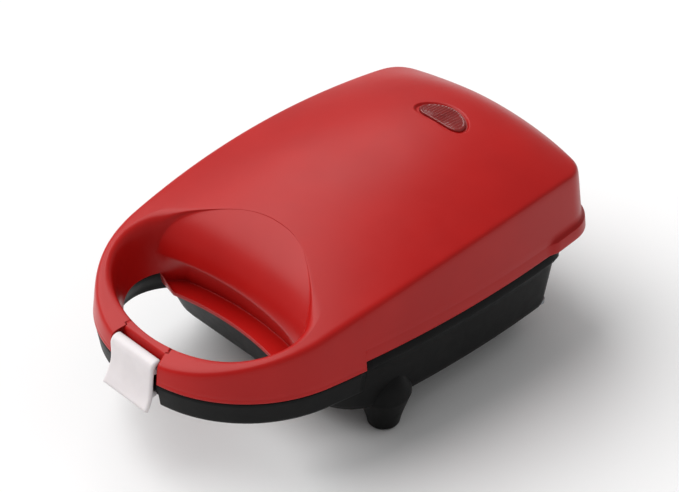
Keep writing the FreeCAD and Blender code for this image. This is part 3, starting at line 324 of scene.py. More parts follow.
# one column of the lid's skin: inner wall, lower edge and lip, outer wall, crown, pocket, palm
# roll, undercut, shelf and its inner side; then its corners are softened
def lidColumn(station):
    low = onOutline(station, 0)
    rear = low.y > press["stepY"]
    slotted = low.y > lid["lipStartY"] and lid["slotX"][0] < abs(low.x) < lid["slotX"][1]
    edgeZ = lid["slotTopZ"] if slotted else press["edgeZ"] if rear else press["partingZ"]
    lean = math.tan(math.radians(lid["draft"]))
    notch = abs(low.x) < lid["notchHalf"] and low.y < 0

    def wallPoint(z, out=0):
        if notch:
            return Vector((low.x, lid["notchBackY"] - min(out, 0), z))
        flat = onOutline(station, (z - press["partingZ"]) * lean - out)
        return Vector((flat.x, flat.y, z))

    shoulderZ = 60
    for _ in range(4):
        top = wallPoint(shoulderZ)
        shoulderZ = crownHeight(top.x, top.y)
    top = wallPoint(shoulderZ)
    out = 0 if slotted else lid["lipFlare"] * min(1, max(0, (low.y - lid["lipStartY"]) / 3))
    lipTop = edgeZ + (lid["lipHeight"] if rear and not slotted else 2)
    inner = 1.6 if notch else lid["wall"]
    column = [wallPoint(max(shoulderZ - 4, edgeZ + 0.5), -inner), wallPoint(edgeZ, -inner),
              wallPoint(edgeZ, out - 0.25), wallPoint(edgeZ + 0.3, out), wallPoint(edgeZ + 0.9, out),
              wallPoint(lipTop - 0.5, out), wallPoint(lipTop - 0.15, out - 0.1), wallPoint(lipTop + 0.25, 0)]
    weights = [0] * len(column)
    lipEnd = column[-1].z
    length = shoulderZ - lipEnd
    for share in alongRun(length, 5, nearStart=False):
        column.append(wallPoint(lipEnd + length * share))
        weights.append(shoulderGive(length * (1 - share)))
    column.append(top)
    weights.append(0.6)

    # crown, from the shoulder to the finger opening's edge
    turn = heading((0, press["openingY"]), (top.x, top.y))
    loop = fromOpening(turn, loopReach(turn), 0)
    loop.z = crownHeight(loop.x, loop.y)
    length = (loop - top).length
    for share in alongRun(length, 58):
        spot = top.lerp(loop, share)
        spot.z = crownHeight(spot.x, spot.y)
        column.append(spot)
        weights.append(shoulderGive(length * share))
    shoulderRows = len(column)
    column.append(loop)
    weights.append(0)

    # pocket wall down to the roll, then the roll down to its lower edge
    base = ovalReach(turn, lid["openingHalf"], lid["openingReach"])
    climb = loop.z - press["partingZ"]

    def pocketPoint(z):
        return fromOpening(turn, base + (loopReach(turn) - base) * (z - press["partingZ"]) / climb, z)

    wallEdge = pocketPoint(lid["rollBottomZ"])
    edge = fromOpening(turn, toRoll(turn, lid["rollRadius"]), lid["rollBottomZ"])
    onRoll = math.sin(turn) > 0 and edge.y < wallEdge.y
    if onRoll:
        foot = pocketPoint(lastInside(lid["rollBottomZ"], loop.z, lambda z: rollHeight(pocketPoint(z)) > z))
    else:
        edge = wallEdge
        foot = wallEdge.lerp(pocketPoint(lid["rollBottomZ"] + 2), 0.5)
    length = max((foot - loop).length, 0.2)
    for share in alongRun(length, 6):
        column.append(pocketPoint(loop.z + (foot.z - loop.z) * share))
        weights.append(0)
    column.append(foot)
    weights.append(0)
    creaseRows = len(column)
    for share in alongRun(max((edge - foot).length, 1), 14):
        spot = foot.lerp(edge, share)
        if onRoll:
            spot.z = rollHeight(spot)
        column.append(spot)
        weights.append(0)
    column.append(edge)
    weights.append(0)

    # undercut wall, shelf and its front
    lowReach = noseReach = base
    if onRoll:
        lowReach = min(toRoll(turn, lid["rollRadius"] + lid["undercut"]), base)
        noseReach = min(toRoll(turn, lid["rollRadius"] + lid["undercut"] - lid["shelfReach"]), lowReach)
    shelf = ease(lowReach - noseReach, 0, 4)      # fades out where the shelf runs into the ring
    shelfZ = press["partingZ"] + (lid["shelfZ"] - press["partingZ"]) * shelf
    bottom = fromOpening(turn, lowReach, shelfZ)
    for share in alongRun((bottom - edge).length, 3, nearEnd=False):
        column.append(edge.lerp(bottom, share))
    nose = fromOpening(turn, noseReach, shelfZ)
    under = fromOpening(turn, noseReach, shelfZ - lid["shelfThick"] * shelf)
    column += [bottom.lerp(edge, 0.03), bottom, bottom.lerp(nose, 0.03), bottom.lerp(nose, 0.5),
               nose.lerp(bottom, 0.03), nose, nose.lerp(under, 0.1), nose.lerp(under, 0.5), under,
               fromOpening(turn, lowReach + lid["wall"], under.z),
               fromOpening(turn, lowReach + lid["wall"], lid["innerTopZ"])]
    weights += [0] * (len(column) - len(weights))

    column = soften(column, weights, lid["shoulderRounds"])
    weights = [0.5 if shoulderRows - 5 < i < creaseRows + 6 else 0 for i in range(len(column))]
    column = soften(column, weights, lid["creaseRounds"])
    depth = ease((foot - loop).length, 1, 8)      # the pocket's upper edge is softer where it is deep
    weights = [0.6 * depth if shoulderRows - 14 < i < creaseRows else 0 for i in range(len(column))]
    column = soften(column, weights, lid["pocketRounds"])
    edgeRow = column.index(min(column[creaseRows:], key=lambda point: (point - edge).length))
    weights = [0.5 if abs(i - edgeRow) < 4 else 0 for i in range(len(column))]
    return soften(column, weights, lid["edgeRounds"])


lens = {
    "half": 13.6,          # half width
    "frontY": 62.8,        # its straight front edge
    "depth": 11.4,         # to the top of its round rear
    "corner": 9,           # softness of the outline's corners
    "groove": 1.0,         # width of the groove round it
    "grooveDepth": 1.1,
    "ribPitch": 1.5,
    "ribHeight": 0.35,
    "proud": 0.1,
    "backRadius": 16.5,    # of its round rear
    "seatDepth": 1.6,
    "skinZ": 75,           # the crown's skin is all above this
    "reach": 4.5,          # how far round it the skin is refined, and how far a second time
    "fineReach": 2.6,
    "spokes": 96,
    "rings": 25,
    "rim": ((3.4, 1), (0.9, 1), (0.5, 0.99), (0.2, 0.965), (0.02, 0.93)),    # depth and share of the radius
}


# distance outside the lens's outline, negative inside: a disc with a flat front and round corners
def beyondLens(x, y):
    radius = lens["backRadius"]
    disc = math.hypot(x, y - (lens["frontY"] + lens["depth"] - radius)) - radius
    front = lens["frontY"] - 0.3 - y
    share = max(lens["corner"] - abs(disc - front), 0) / lens["corner"]
    return max(disc, front) + share * share * lens["corner"] * 0.25


# refines the skin round the lamp and sinks the groove and the lens's seat into it
def sinkLamp(piece):
    work = bmesh.new()
    work.from_mesh(piece.data)
    middleY = lens["frontY"] + lens["depth"] / 2

    def nearLamp(point, reach):
        return (point.z > lens["skinZ"] * mm and abs(point.x) < (lens["half"] + reach) * mm
                and abs(point.y - middleY * mm) < (lens["depth"] / 2 + reach) * mm)

    for cuts, reach in ((1, lens["reach"]), (2, lens["fineReach"])):
        edges = [edge for edge in work.edges if all(nearLamp(vert.co, reach) for vert in edge.verts)]
        bmesh.ops.subdivide_edges(work, edges=edges, cuts=cuts, use_grid_fill=True)
    for vert in work.verts:
        if not nearLamp(vert.co, lens["reach"]):
            continue
        x, y = vert.co.x / mm, vert.co.y / mm
        away = beyondLens(x, y)
        width = lens["groove"]
        sunk = lens["grooveDepth"] * (1 - ease(away, width * 0.55, width * 1.25))
        sunk += lens["seatDepth"] * (1 - ease(away, -0.9, -0.2))
        vert.co.z = (crownHeight(x, y) - sunk) * mm
    work.to_mesh(piece.data)
    work.free()


lidArcs = outlineArcs(press["rearY"], press["rearCorner"])
lidBreaks = [(0, lid["notchHalf"]), (1, press["stepY"]), (0, lid["slotX"][0]), (0, lid["slotX"][1])]
lidStations = stations(lidArcs, lid["spacing"], lidBreaks)
rightColumns = [lidColumn(station) for station in lidStations]
lidShell = newPiece("lidShell", *skin(rightColumns + mirrored(rightColumns[-2:0:-1]), True))
tidyMesh(lidShell)
sinkLamp(lidShell)
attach(lidShell, "lid")
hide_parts("upper_housing")
print("lid moulding made")


# the lens: a ribbed lid of the crown's own curve over a plain rim
def makeLens():
    middleY = lens["frontY"] + 0.45 * lens["depth"]
    columns = []
    for i in range(lens["spokes"]):
        turn = 2 * math.pi * i / lens["spokes"]
        across, along = math.cos(turn), math.sin(turn)
        reach = lastInside(0, 30, lambda away: beyondLens(away * across, middleY + away * along) < 0)

        def onLens(share, drop):
            x = reach * share * across
            y = middleY + reach * share * along
            return Vector((x, y, crownHeight(x, y) + lens["proud"] - drop))

        column = [onLens(share, drop) for drop, share in lens["rim"]]
        for k in range(1, lens["rings"] + 1):
            share = lens["rim"][-1][1] * (1 - k / lens["rings"]) + 0.0004
            wave = math.cos(2 * math.pi * reach * share * across / lens["ribPitch"])
            rib = lens["ribHeight"] * (0.5 + 0.5 * wave)
            column.append(onLens(share, rib * min(1, k / 2)))
        columns.append(column)
    piece = newPiece("lampLens", *skin(columns, True))
    tidyMesh(piece, 0.01)
    return piece


lampLens = makeLens()
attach(lampLens, "lid")
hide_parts("indicator_lens")
print("lamp lens made")


latchLow, latchHigh = [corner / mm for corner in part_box("latch")]
latch = {
    "pivotY": -101.3,
    "pivotZ": 49.6,
    "barrel": latchHigh.z - 49.6,    # radius of the rounding over the spindle
    "thick": 2.0,
    "tipY": latchLow.y,
    "tipZ": 32,
    "topHalf": 13.2,          # half width at the top and at the lip
    "lipHalf": 13.9,
    "waist": 0.35,            # how much its sides draw in between
    "sweep": 0.9,             # how far its face leans out, before the lip
    "edge": ((0.7, 0), (0.21, 0.45), (0, 0.9)),    # rounded side edge: inset from the face, from the side
    "ribs": 16,               # columns across it
}


# the latch's front face, from the back of its barrel over the top and down to the lip's tip
def latchLine():
    line = []
    for i in range(13):
        turn = math.radians(62 + 118 * i / 12)
        line.append(Vector((0, latch["pivotY"] + latch["barrel"] * math.cos(turn),
                            latch["pivotZ"] + latch["barrel"] * math.sin(turn))))
    start = line[-1]
    for i in range(1, 21):
        share = i / 20
        z = start.z + (latch["tipZ"] - start.z) * share
        sweep = latch["sweep"] * share + (start.y - latch["tipY"] - latch["sweep"]) * share ** 3.2
        line.append(Vector((0, start.y - sweep, z)))
    return line


def makeLatch():
    front = latchLine()
    back = []
    for i, point in enumerate(front):
        before = front[max(0, i - 1)]
        after = front[min(len(front) - 1, i + 1)]
        along = (after - before).normalized()
        inward = Vector((0, -along.z, along.y))
        back.append(point + inward * latch["thick"])
    ring = front + back[::-1]
    across = [(-1, shrink, rank) for shrink, rank in latch["edge"]]
    across += [(2 * i / latch["ribs"] - 1, 0, 0) for i in range(1, latch["ribs"])]
    across += [(1, shrink, rank) for shrink, rank in reversed(latch["edge"])]
    columns = []
    for x, shrink, rank in across:
        column = []
        for point, partner in zip(ring, reversed(ring)):
            drop = latch["pivotZ"] - point.z
            half = latch["topHalf"] + (latch["lipHalf"] - latch["topHalf"]) * ease(drop, 6, 17)
            half -= latch["waist"] * math.sin(math.pi * ease(drop, 0, 14))
            spot = point + (partner - point).normalized() * shrink
            column.append(Vector((x * (half - rank), spot.y, spot.z)))
        columns.append(column + [column[0]])
    points, faces = skin(columns, False)
    rows = len(ring) + 1
    for side in (0, len(columns) - 1):
        for k in range(len(front) - 1):
            mate = 2 * len(front) - 1 - k
            faces.append((side * rows + k, side * rows + k + 1, side * rows + mate - 1, side * rows + mate))
    piece = newPiece("latchPlate", points, faces)
    tidyMesh(piece)
    return piece


# the barrel's rear, with its ends drawn in, and the hook that grips the catch
def makeHook():
    section = []
    for i in range(19):
        turn = math.radians(-70 + 320 * i / 18)
        section.append((latch["pivotY"] + (latch["barrel"] - 0.35) * math.cos(turn),
                        latch["pivotZ"] + (latch["barrel"] - 0.35) * math.sin(turn)))
    half = latch["topHalf"] - 0.6
    points = []
    faces = []
    count = len(section)
    for x, scale in ((-half, 0.93), (-half + 0.4, 1), (half - 0.4, 1), (half, 0.93)):
        for y, z in section:
            points.append((x, latch["pivotY"] + (y - latch["pivotY"]) * scale,
                           latch["pivotZ"] + (z - latch["pivotZ"]) * scale))
    for i in range(3):
        for k in range(count):
            n = (k + 1) % count
            faces.append((i * count + k, i * count + n, (i + 1) * count + n, (i + 1) * count + k))
    faces += [tuple(range(count)), tuple(range(3 * count, 4 * count))]
    barrel = newPiece("latchBarrel", points, faces)
    tidyMesh(barrel)

    frontY = latch["pivotY"] - latch["barrel"]
    hook = [(frontY + 1, 39.6), (frontY + 0.6, 36), (frontY + 2.2, 33.6), (frontY + 4.2, 34.2),
            (frontY + 5, 35.8), (frontY + 4.6, 37.1), (frontY + 2.6, 37.2), (frontY + 2.2, 38.2)]
    half = latch["topHalf"] - 2.6
    piece = newPiece("latchHook", *prism(hook, (-half, half)))
    roundEdges(piece, 0.5, 3)
    tidyMesh(piece)
    return barrel, piece


latchPlate = makeLatch()
latchBarrel, latchHook = makeHook()
for piece in (latchPlate, latchBarrel, latchHook):
    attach(piece, "latch")
    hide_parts("latch")
print("latch made")


base = {
    "rearY": 90.5,
    "rearCorner": 12,
    "draft": 9,
    "bottomZ": 16,
    "rim": [(4, 38), (4, 47.1), (2.1, 47.15), (1.9, 46.9), (0.42, 44), (0.3, 43.5), (0.42, 43.05),
            (1.2, 42.4), (1.75, 41.9), (1.85, 41.4)],     # inset and height, from the well over the bead
    "wallInset": 1.6,
    "wallZ": (40.5, 38),      # rows of the wall under the bead
    "leanRows": (0.9, 0.7, 0.5, 0.3, 0.16, 0.1),    # and down the leaning part, as shares of its height
    "bottomRows": ((0, 1.3), (0.12, 0.8), (0.4, 0.35), (0.9, 0.08), (1.6, 0)),    # rounding: inward, up
    "middleY": 25,            # where the bottom's columns meet
    "ledgeZ": 36,             # top of the part that leans back under the finger opening
    "frontY": -50.5,          # top of that leaning wall
    "lean": 8.5,
    "frontCorner": 21,        # how round its corners are
    "wellFrontY": -35.6,      # front of the plate well
    "bendY": -20,             # where the sides start to give way to the front
    "ringBottomZ": 31,
    "ringTopZ": 43,
    "ringRounding": 2.4,      # rounding of the ring's underside
    "bayY": -102.3,           # face behind the latch
    "bayDeepY": -98.8,        # under the catch
    "catchZ": 37.6,
    "openingHalf": 45.2,      # finger opening in the lower half of the ring, at its top
    "openingReach": 30.55,
    "openingFlare": 4,        # how much wider it is at the bottom
    "wellInset": 4,           # inside of the rim
    "wellStep": 2.4,
}
baseArcs = outlineArcs(base["rearY"], base["rearCorner"])


def wallLean(z):
    return base["wallInset"] + (press["edgeZ"] - z) * math.tan(math.radians(base["draft"])) * 0.98


# place on the leaning front part at height z: stage 0 to 1 is the side, to 2 the corner, to 3 the front
def frontPlace(stage, z):
    frontY = base["frontY"] + base["lean"] * (base["ledgeZ"] - z) / (base["ledgeZ"] - base["bottomZ"])
    side = sideAt(frontY + base["frontCorner"], wallLean(z))
    corner = base["frontCorner"]
    if stage <= 1:
        y = base["bendY"] + (frontY + corner - base["bendY"]) * stage
        return Vector((sideAt(y, wallLean(z)), y, z))
    if stage <= 2:
        turn = math.pi / 2 * (stage - 1)
        return Vector((side - corner + corner * math.cos(turn), frontY + corner - corner * math.sin(turn), z))
    return Vector(((side - corner) * (3 - stage), frontY, z))


# half width of the outline at a place along it, moved in by inset
def sideAt(y, inset):
    reach = press["sideRadius"] - inset
    return press["halfWidth"] - press["sideRadius"] + math.sqrt(reach ** 2 - (y - press["widestY"]) ** 2)


# place on the plate well's front and sides for the same stages
def wellPlace(stage, inset, z):
    if stage <= 1:
        y = base["bendY"] + (base["wellFrontY"] - base["bendY"]) * stage
        return Vector((sideAt(y, inset), y, z))
    side = sideAt(base["wellFrontY"], inset)
    back = base["wellStep"] if inset >= base["wellInset"] else 0
    if stage <= 2:
        return Vector((side, base["wellFrontY"] + back, z))
    return Vector((side * (3 - stage), base["wellFrontY"] + back, z))


def baseColumn(upper, lower):
    column = [upper(inset, z) for inset, z in base["rim"]]
    ledge = base["ledgeZ"]
    low = base["bottomZ"]
    column += [upper(wallLean(z), z) for z in (*base["wallZ"], ledge + 0.25)]
    column += [lower(z) for z in (ledge, ledge - 0.3)]
    column += [lower(low + (ledge - low) * share) for share in base["leanRows"]]
    edge = lower(low)
    middle = Vector((0, base["middleY"], low))
    inward = (middle - edge).normalized()
    column += [edge + inward * depth + Vector((0, 0, lift)) for depth, lift in base["bottomRows"]]
    start = edge + inward * base["bottomRows"][-1][0]
    return column + [start.lerp(middle, share) for share in (0.1, 0.4, 0.8, 1)]


# the tub: round the front corner by stages, then along the outline's own arcs to the rear
def makeTub():
    columns = []
    stages = [i / 4 for i in range(4)] + [1 + i / 11 for i in range(11)] + [2 + i / 14 for i in range(15)]
    for stage in reversed(stages):

        def onWell(inset, z, stage=stage):
            outside = stage > 2 and inset < base["wellInset"]
            return wellPlace(stage, wallLean(z) if outside else inset, z)

        columns.append(baseColumn(onWell, lambda z, stage=stage: frontPlace(stage, z)))
    for station in stations(baseArcs, 4, []):
        if onOutline(station, 0).y <= base["bendY"] + 1:
            continue
        columns.append(baseColumn(
            lambda inset, z, station=station: Vector((*onOutline(station, inset), z)),
            lambda z, station=station: Vector((*onOutline(station, wallLean(z)), z))))
    piece = newPiece("baseTub", *skin(columns + mirrored(columns[-2:0:-1]), True))
    tidyMesh(piece)
    return piece


# the lower half of the ring round the finger opening
def ringColumn(station):
    edge = onOutline(station, 0)
    turn = heading((0, press["openingY"]), (edge.x, edge.y))
    low, top, rounding = base["ringBottomZ"], base["ringTopZ"], base["ringRounding"]
    bay = abs(edge.x) < lid["notchHalf"] and edge.y < 0

    def outer(z):
        if bay:
            return Vector((edge.x, base["bayY"] if z > base["catchZ"] else base["bayDeepY"], z))
        return Vector((*onOutline(station, 0.2 + (top - z) * math.tan(math.radians(base["draft"]))), z))

    def inner(z):
        flare = base["openingFlare"] * ease(top - z, 0, top - low)
        reach = ovalReach(turn, base["openingHalf"] + flare, base["openingReach"] + flare * 0.5)
        return fromOpening(turn, reach, z)

    catch = base["catchZ"]
    shoulder = outer(top - 0.3)
    column = [shoulder + (inner(top) - outer(top)).normalized() * 0.3 + Vector((0, 0, 0.3)), shoulder]
    column += [outer(z) for z in (41, 39, catch + 0.05, catch - 0.05, 35.5, low + rounding + 0.6)]
    corner = outer(low + rounding)
    under = inner(low) - corner
    under.z = 0
    under.normalize()
    for i in range(7):
        bend = math.pi / 2 * i / 6
        fall = Vector((0, 0, rounding * math.sin(bend)))
        column.append(corner + under * rounding * (1 - math.cos(bend)) - fall)
    column += [inner(low) - under * 0.8, inner(low) - under * 0.3 + Vector((0, 0, 0.1)), inner(low + 0.5)]
    column += [inner(z) for z in (33, 36, 39, 41.5, top - 0.2)]
    column.append(inner(top) - under * 0.2)
    return column


def makeRing():
    columns = []
    for station in stations(lidArcs, 2.5, [(0, lid["notchHalf"])]):
        if onOutline(station, 0).y < base["wellFrontY"] - 0.2:
            columns.append(ringColumn(station))
    columns = mirrored(columns[:0:-1]) + columns
    points, faces = skin([column + [column[0]] for column in columns], False)
    rows = len(columns[0]) + 1
    faces += [tuple(range(rows - 1)), tuple(range((len(columns) - 1) * rows, len(columns) * rows - 1))]
    piece = newPiece("baseRing", points, faces)
    tidyMesh(piece)
    return piece


foot = {
    "bottom": 6.9,           # radius at the worktop
    "spread": 4.7,           # how much it widens up to the base
    "rounding": 1.8,
    "height": 17.5,
    "fairing": [(11.2, 20), (9.8, 24), (7.6, 28), (4.4, 31.5), (0.01, 33)],     # inside the base's wall
    "places": [(53.7, -16.7), (36, 70)],
    "padTop": 0.6,           # top of the pad under it
    "spokes": 40,
}


def makeFeet():
    low = foot["padTop"]
    line = [(0.01, low), (4.5, low), (4.6, low)]
    for i in range(7):
        turn = math.pi / 2 * i / 6
        line.append((foot["bottom"] - foot["rounding"] * (1 - math.sin(turn)),
                     low + foot["rounding"] * (1 - math.cos(turn))))
    low += foot["rounding"]
    for i in range(1, 9):
        share = i / 8
        line.append((foot["bottom"] + foot["spread"] * share ** 1.15, low + (foot["height"] - low) * share))
    line += foot["fairing"]
    points = []
    faces = []
    turns = [2 * math.pi * k / foot["spokes"] for k in range(foot["spokes"])]
    for x, y in foot["places"]:
        for side in (1, -1):
            ring = [[Vector((side * x + r * math.cos(turn), y + r * math.sin(turn), z)) for r, z in line]
                    for turn in turns]
            more, joined = skin(ring, True)
            faces += [tuple(index + len(points) for index in face) for face in joined]
            points += more
    piece = newPiece("baseFeet", points, faces)
    tidyMesh(piece, 0.005)
    return piece


hinge = {
    "axis": (95, 50),
    "eye": 5,                # outer radius of a knuckle
    "eyeSteps": 16,
    "armX": (35.8, 41.8),    # the base's arms
    "eyeX": (42.2, 48.2),    # the lid's eyes beside them
    "rounding": 0.4,
    "armTurns": (-75, 165),    # degrees of each knuckle's arc, then the corners that it is joined to
    "armFoot": [(83, 41.3), (94, 41.3)],
    "armBack": [(83, 48.5)],
    "eyeTurns": (-180, 0),
    "eyeWeb": [(100, 66), (90, 66)],
}


# knuckles on both sides of the press: an arc about the hinge axis, joined to the given corners
def makeKnuckles(name, reach, turns, before, after):
    y0, z0 = hinge["axis"]
    outline = list(before)
    for i in range(hinge["eyeSteps"] + 1):
        turn = math.radians(turns[0] + (turns[1] - turns[0]) * i / hinge["eyeSteps"])
        outline.append((y0 + hinge["eye"] * math.cos(turn), z0 + hinge["eye"] * math.sin(turn)))
    outline += after
    points = []
    faces = []
    for side in (1, -1):
        more, joined = prism(outline, [side * x for x in reach], len(points))
        points += more
        faces += joined
    piece = newPiece(name, points, faces)
    tidyMesh(piece)
    roundEdges(piece, hinge["rounding"], 2)
    return piece


# the base's arms come out of its rear wall; the lid's eyes hang under the crown
hingeArms = makeKnuckles("hingeArms", hinge["armX"], hinge["armTurns"], hinge["armFoot"], hinge["armBack"])
hingeEyes = makeKnuckles("hingeEyes", hinge["eyeX"], hinge["eyeTurns"], [], hinge["eyeWeb"])
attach(hingeEyes, "lid")
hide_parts("upper_housing")
basePieces = [makeTub(), makeRing(), makeFeet(), hingeArms]
for piece in basePieces:
    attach(piece, "base")
    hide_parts("lower_housing")
print("base made")


# the one place where a hex colour is turned to linear light
def linear(hexText):
    parts = [int(hexText[i:i + 2], 16) / 255 for i in (1, 3, 5)]
    return [part / 12.92 if part <= 0.04045 else ((part + 0.055) / 1.055) ** 2.4 for part in parts] + [1]


# adds a node; settings are its inputs or its own properties, links its sources
def addNode(tree, kind, settings=None, links=None):
    node = tree.nodes.new(kind)
    for key, value in (settings or {}).items():
        if hasattr(node, key):
            setattr(node, key, value)
        else:
            node.inputs[key].default_value = value
    for key, source in (links or {}).items():
        tree.links.new(source, node.inputs[key])
    return node


# a finish from its facts: two tones in soft clouds, a grain for the bump, and a gloss that varies
def makeSurface(name, facts):
    material = bpy.data.materials.new(name)
    material.use_nodes = True
    tree = material.node_tree
    tree.nodes.clear()
    spot = addNode(tree, "ShaderNodeTexCoord").outputs["Object"]
    drawn = addNode(tree, "ShaderNodeMapping", {"Scale": facts.get("stretch", (1, 1, 1))}, {"Vector": spot})
    clouds = addNode(tree, "ShaderNodeTexNoise", {"Scale": 1 / (facts["cloudMm"] * mm), "Detail": 4},
                     {"Vector": spot})
    tones = addNode(tree, "ShaderNodeValToRGB", None, {"Fac": clouds.outputs["Fac"]})
    tones.color_ramp.elements[0].position = 0.35
    tones.color_ramp.elements[1].position = 0.65
    tones.color_ramp.elements[0].color = linear(facts["tones"][0])
    tones.color_ramp.elements[1].color = linear(facts["tones"][1])
    if facts.get("weaveMm"):
        grain = addNode(tree, "ShaderNodeTexWave", {
            "Scale": 0.31 / (facts["weaveMm"] * mm), "Distortion": 1.5, "bands_direction": "DIAGONAL",
        }, {"Vector": spot})
    else:
        grain = addNode(tree, "ShaderNodeTexNoise", {
            "Scale": 1 / (facts["grainMm"] * mm), "Detail": 3, "Roughness": 0.6,
        }, {"Vector": drawn.outputs["Vector"]})
    smear = addNode(tree, "ShaderNodeTexNoise", {
        "Scale": 1 / (facts["cloudMm"] * 0.4 * mm), "Detail": 6, "Roughness": 0.65,
    }, {"Vector": drawn.outputs["Vector"]})
    gloss = addNode(tree, "ShaderNodeMapRange", {
        "From Min": 0.3, "From Max": 0.7, "To Min": facts["rough"][0], "To Max": facts["rough"][1],
    }, {"Value": smear.outputs["Fac"]})
    relief = addNode(tree, "ShaderNodeBump", {
        "Strength": facts.get("bump", 0.5), "Distance": facts["reliefMm"] * mm,
    }, {"Height": grain.outputs["Fac"]})
    shader = addNode(tree, "ShaderNodeBsdfPrincipled", facts.get("shader"),
                     {"Base Color": tones.outputs["Color"], "Roughness": gloss.outputs["Result"],
                      "Normal": relief.outputs["Normal"]})
    addNode(tree, "ShaderNodeOutputMaterial", None, {"Surface": shader.outputs["BSDF"]})
    return material


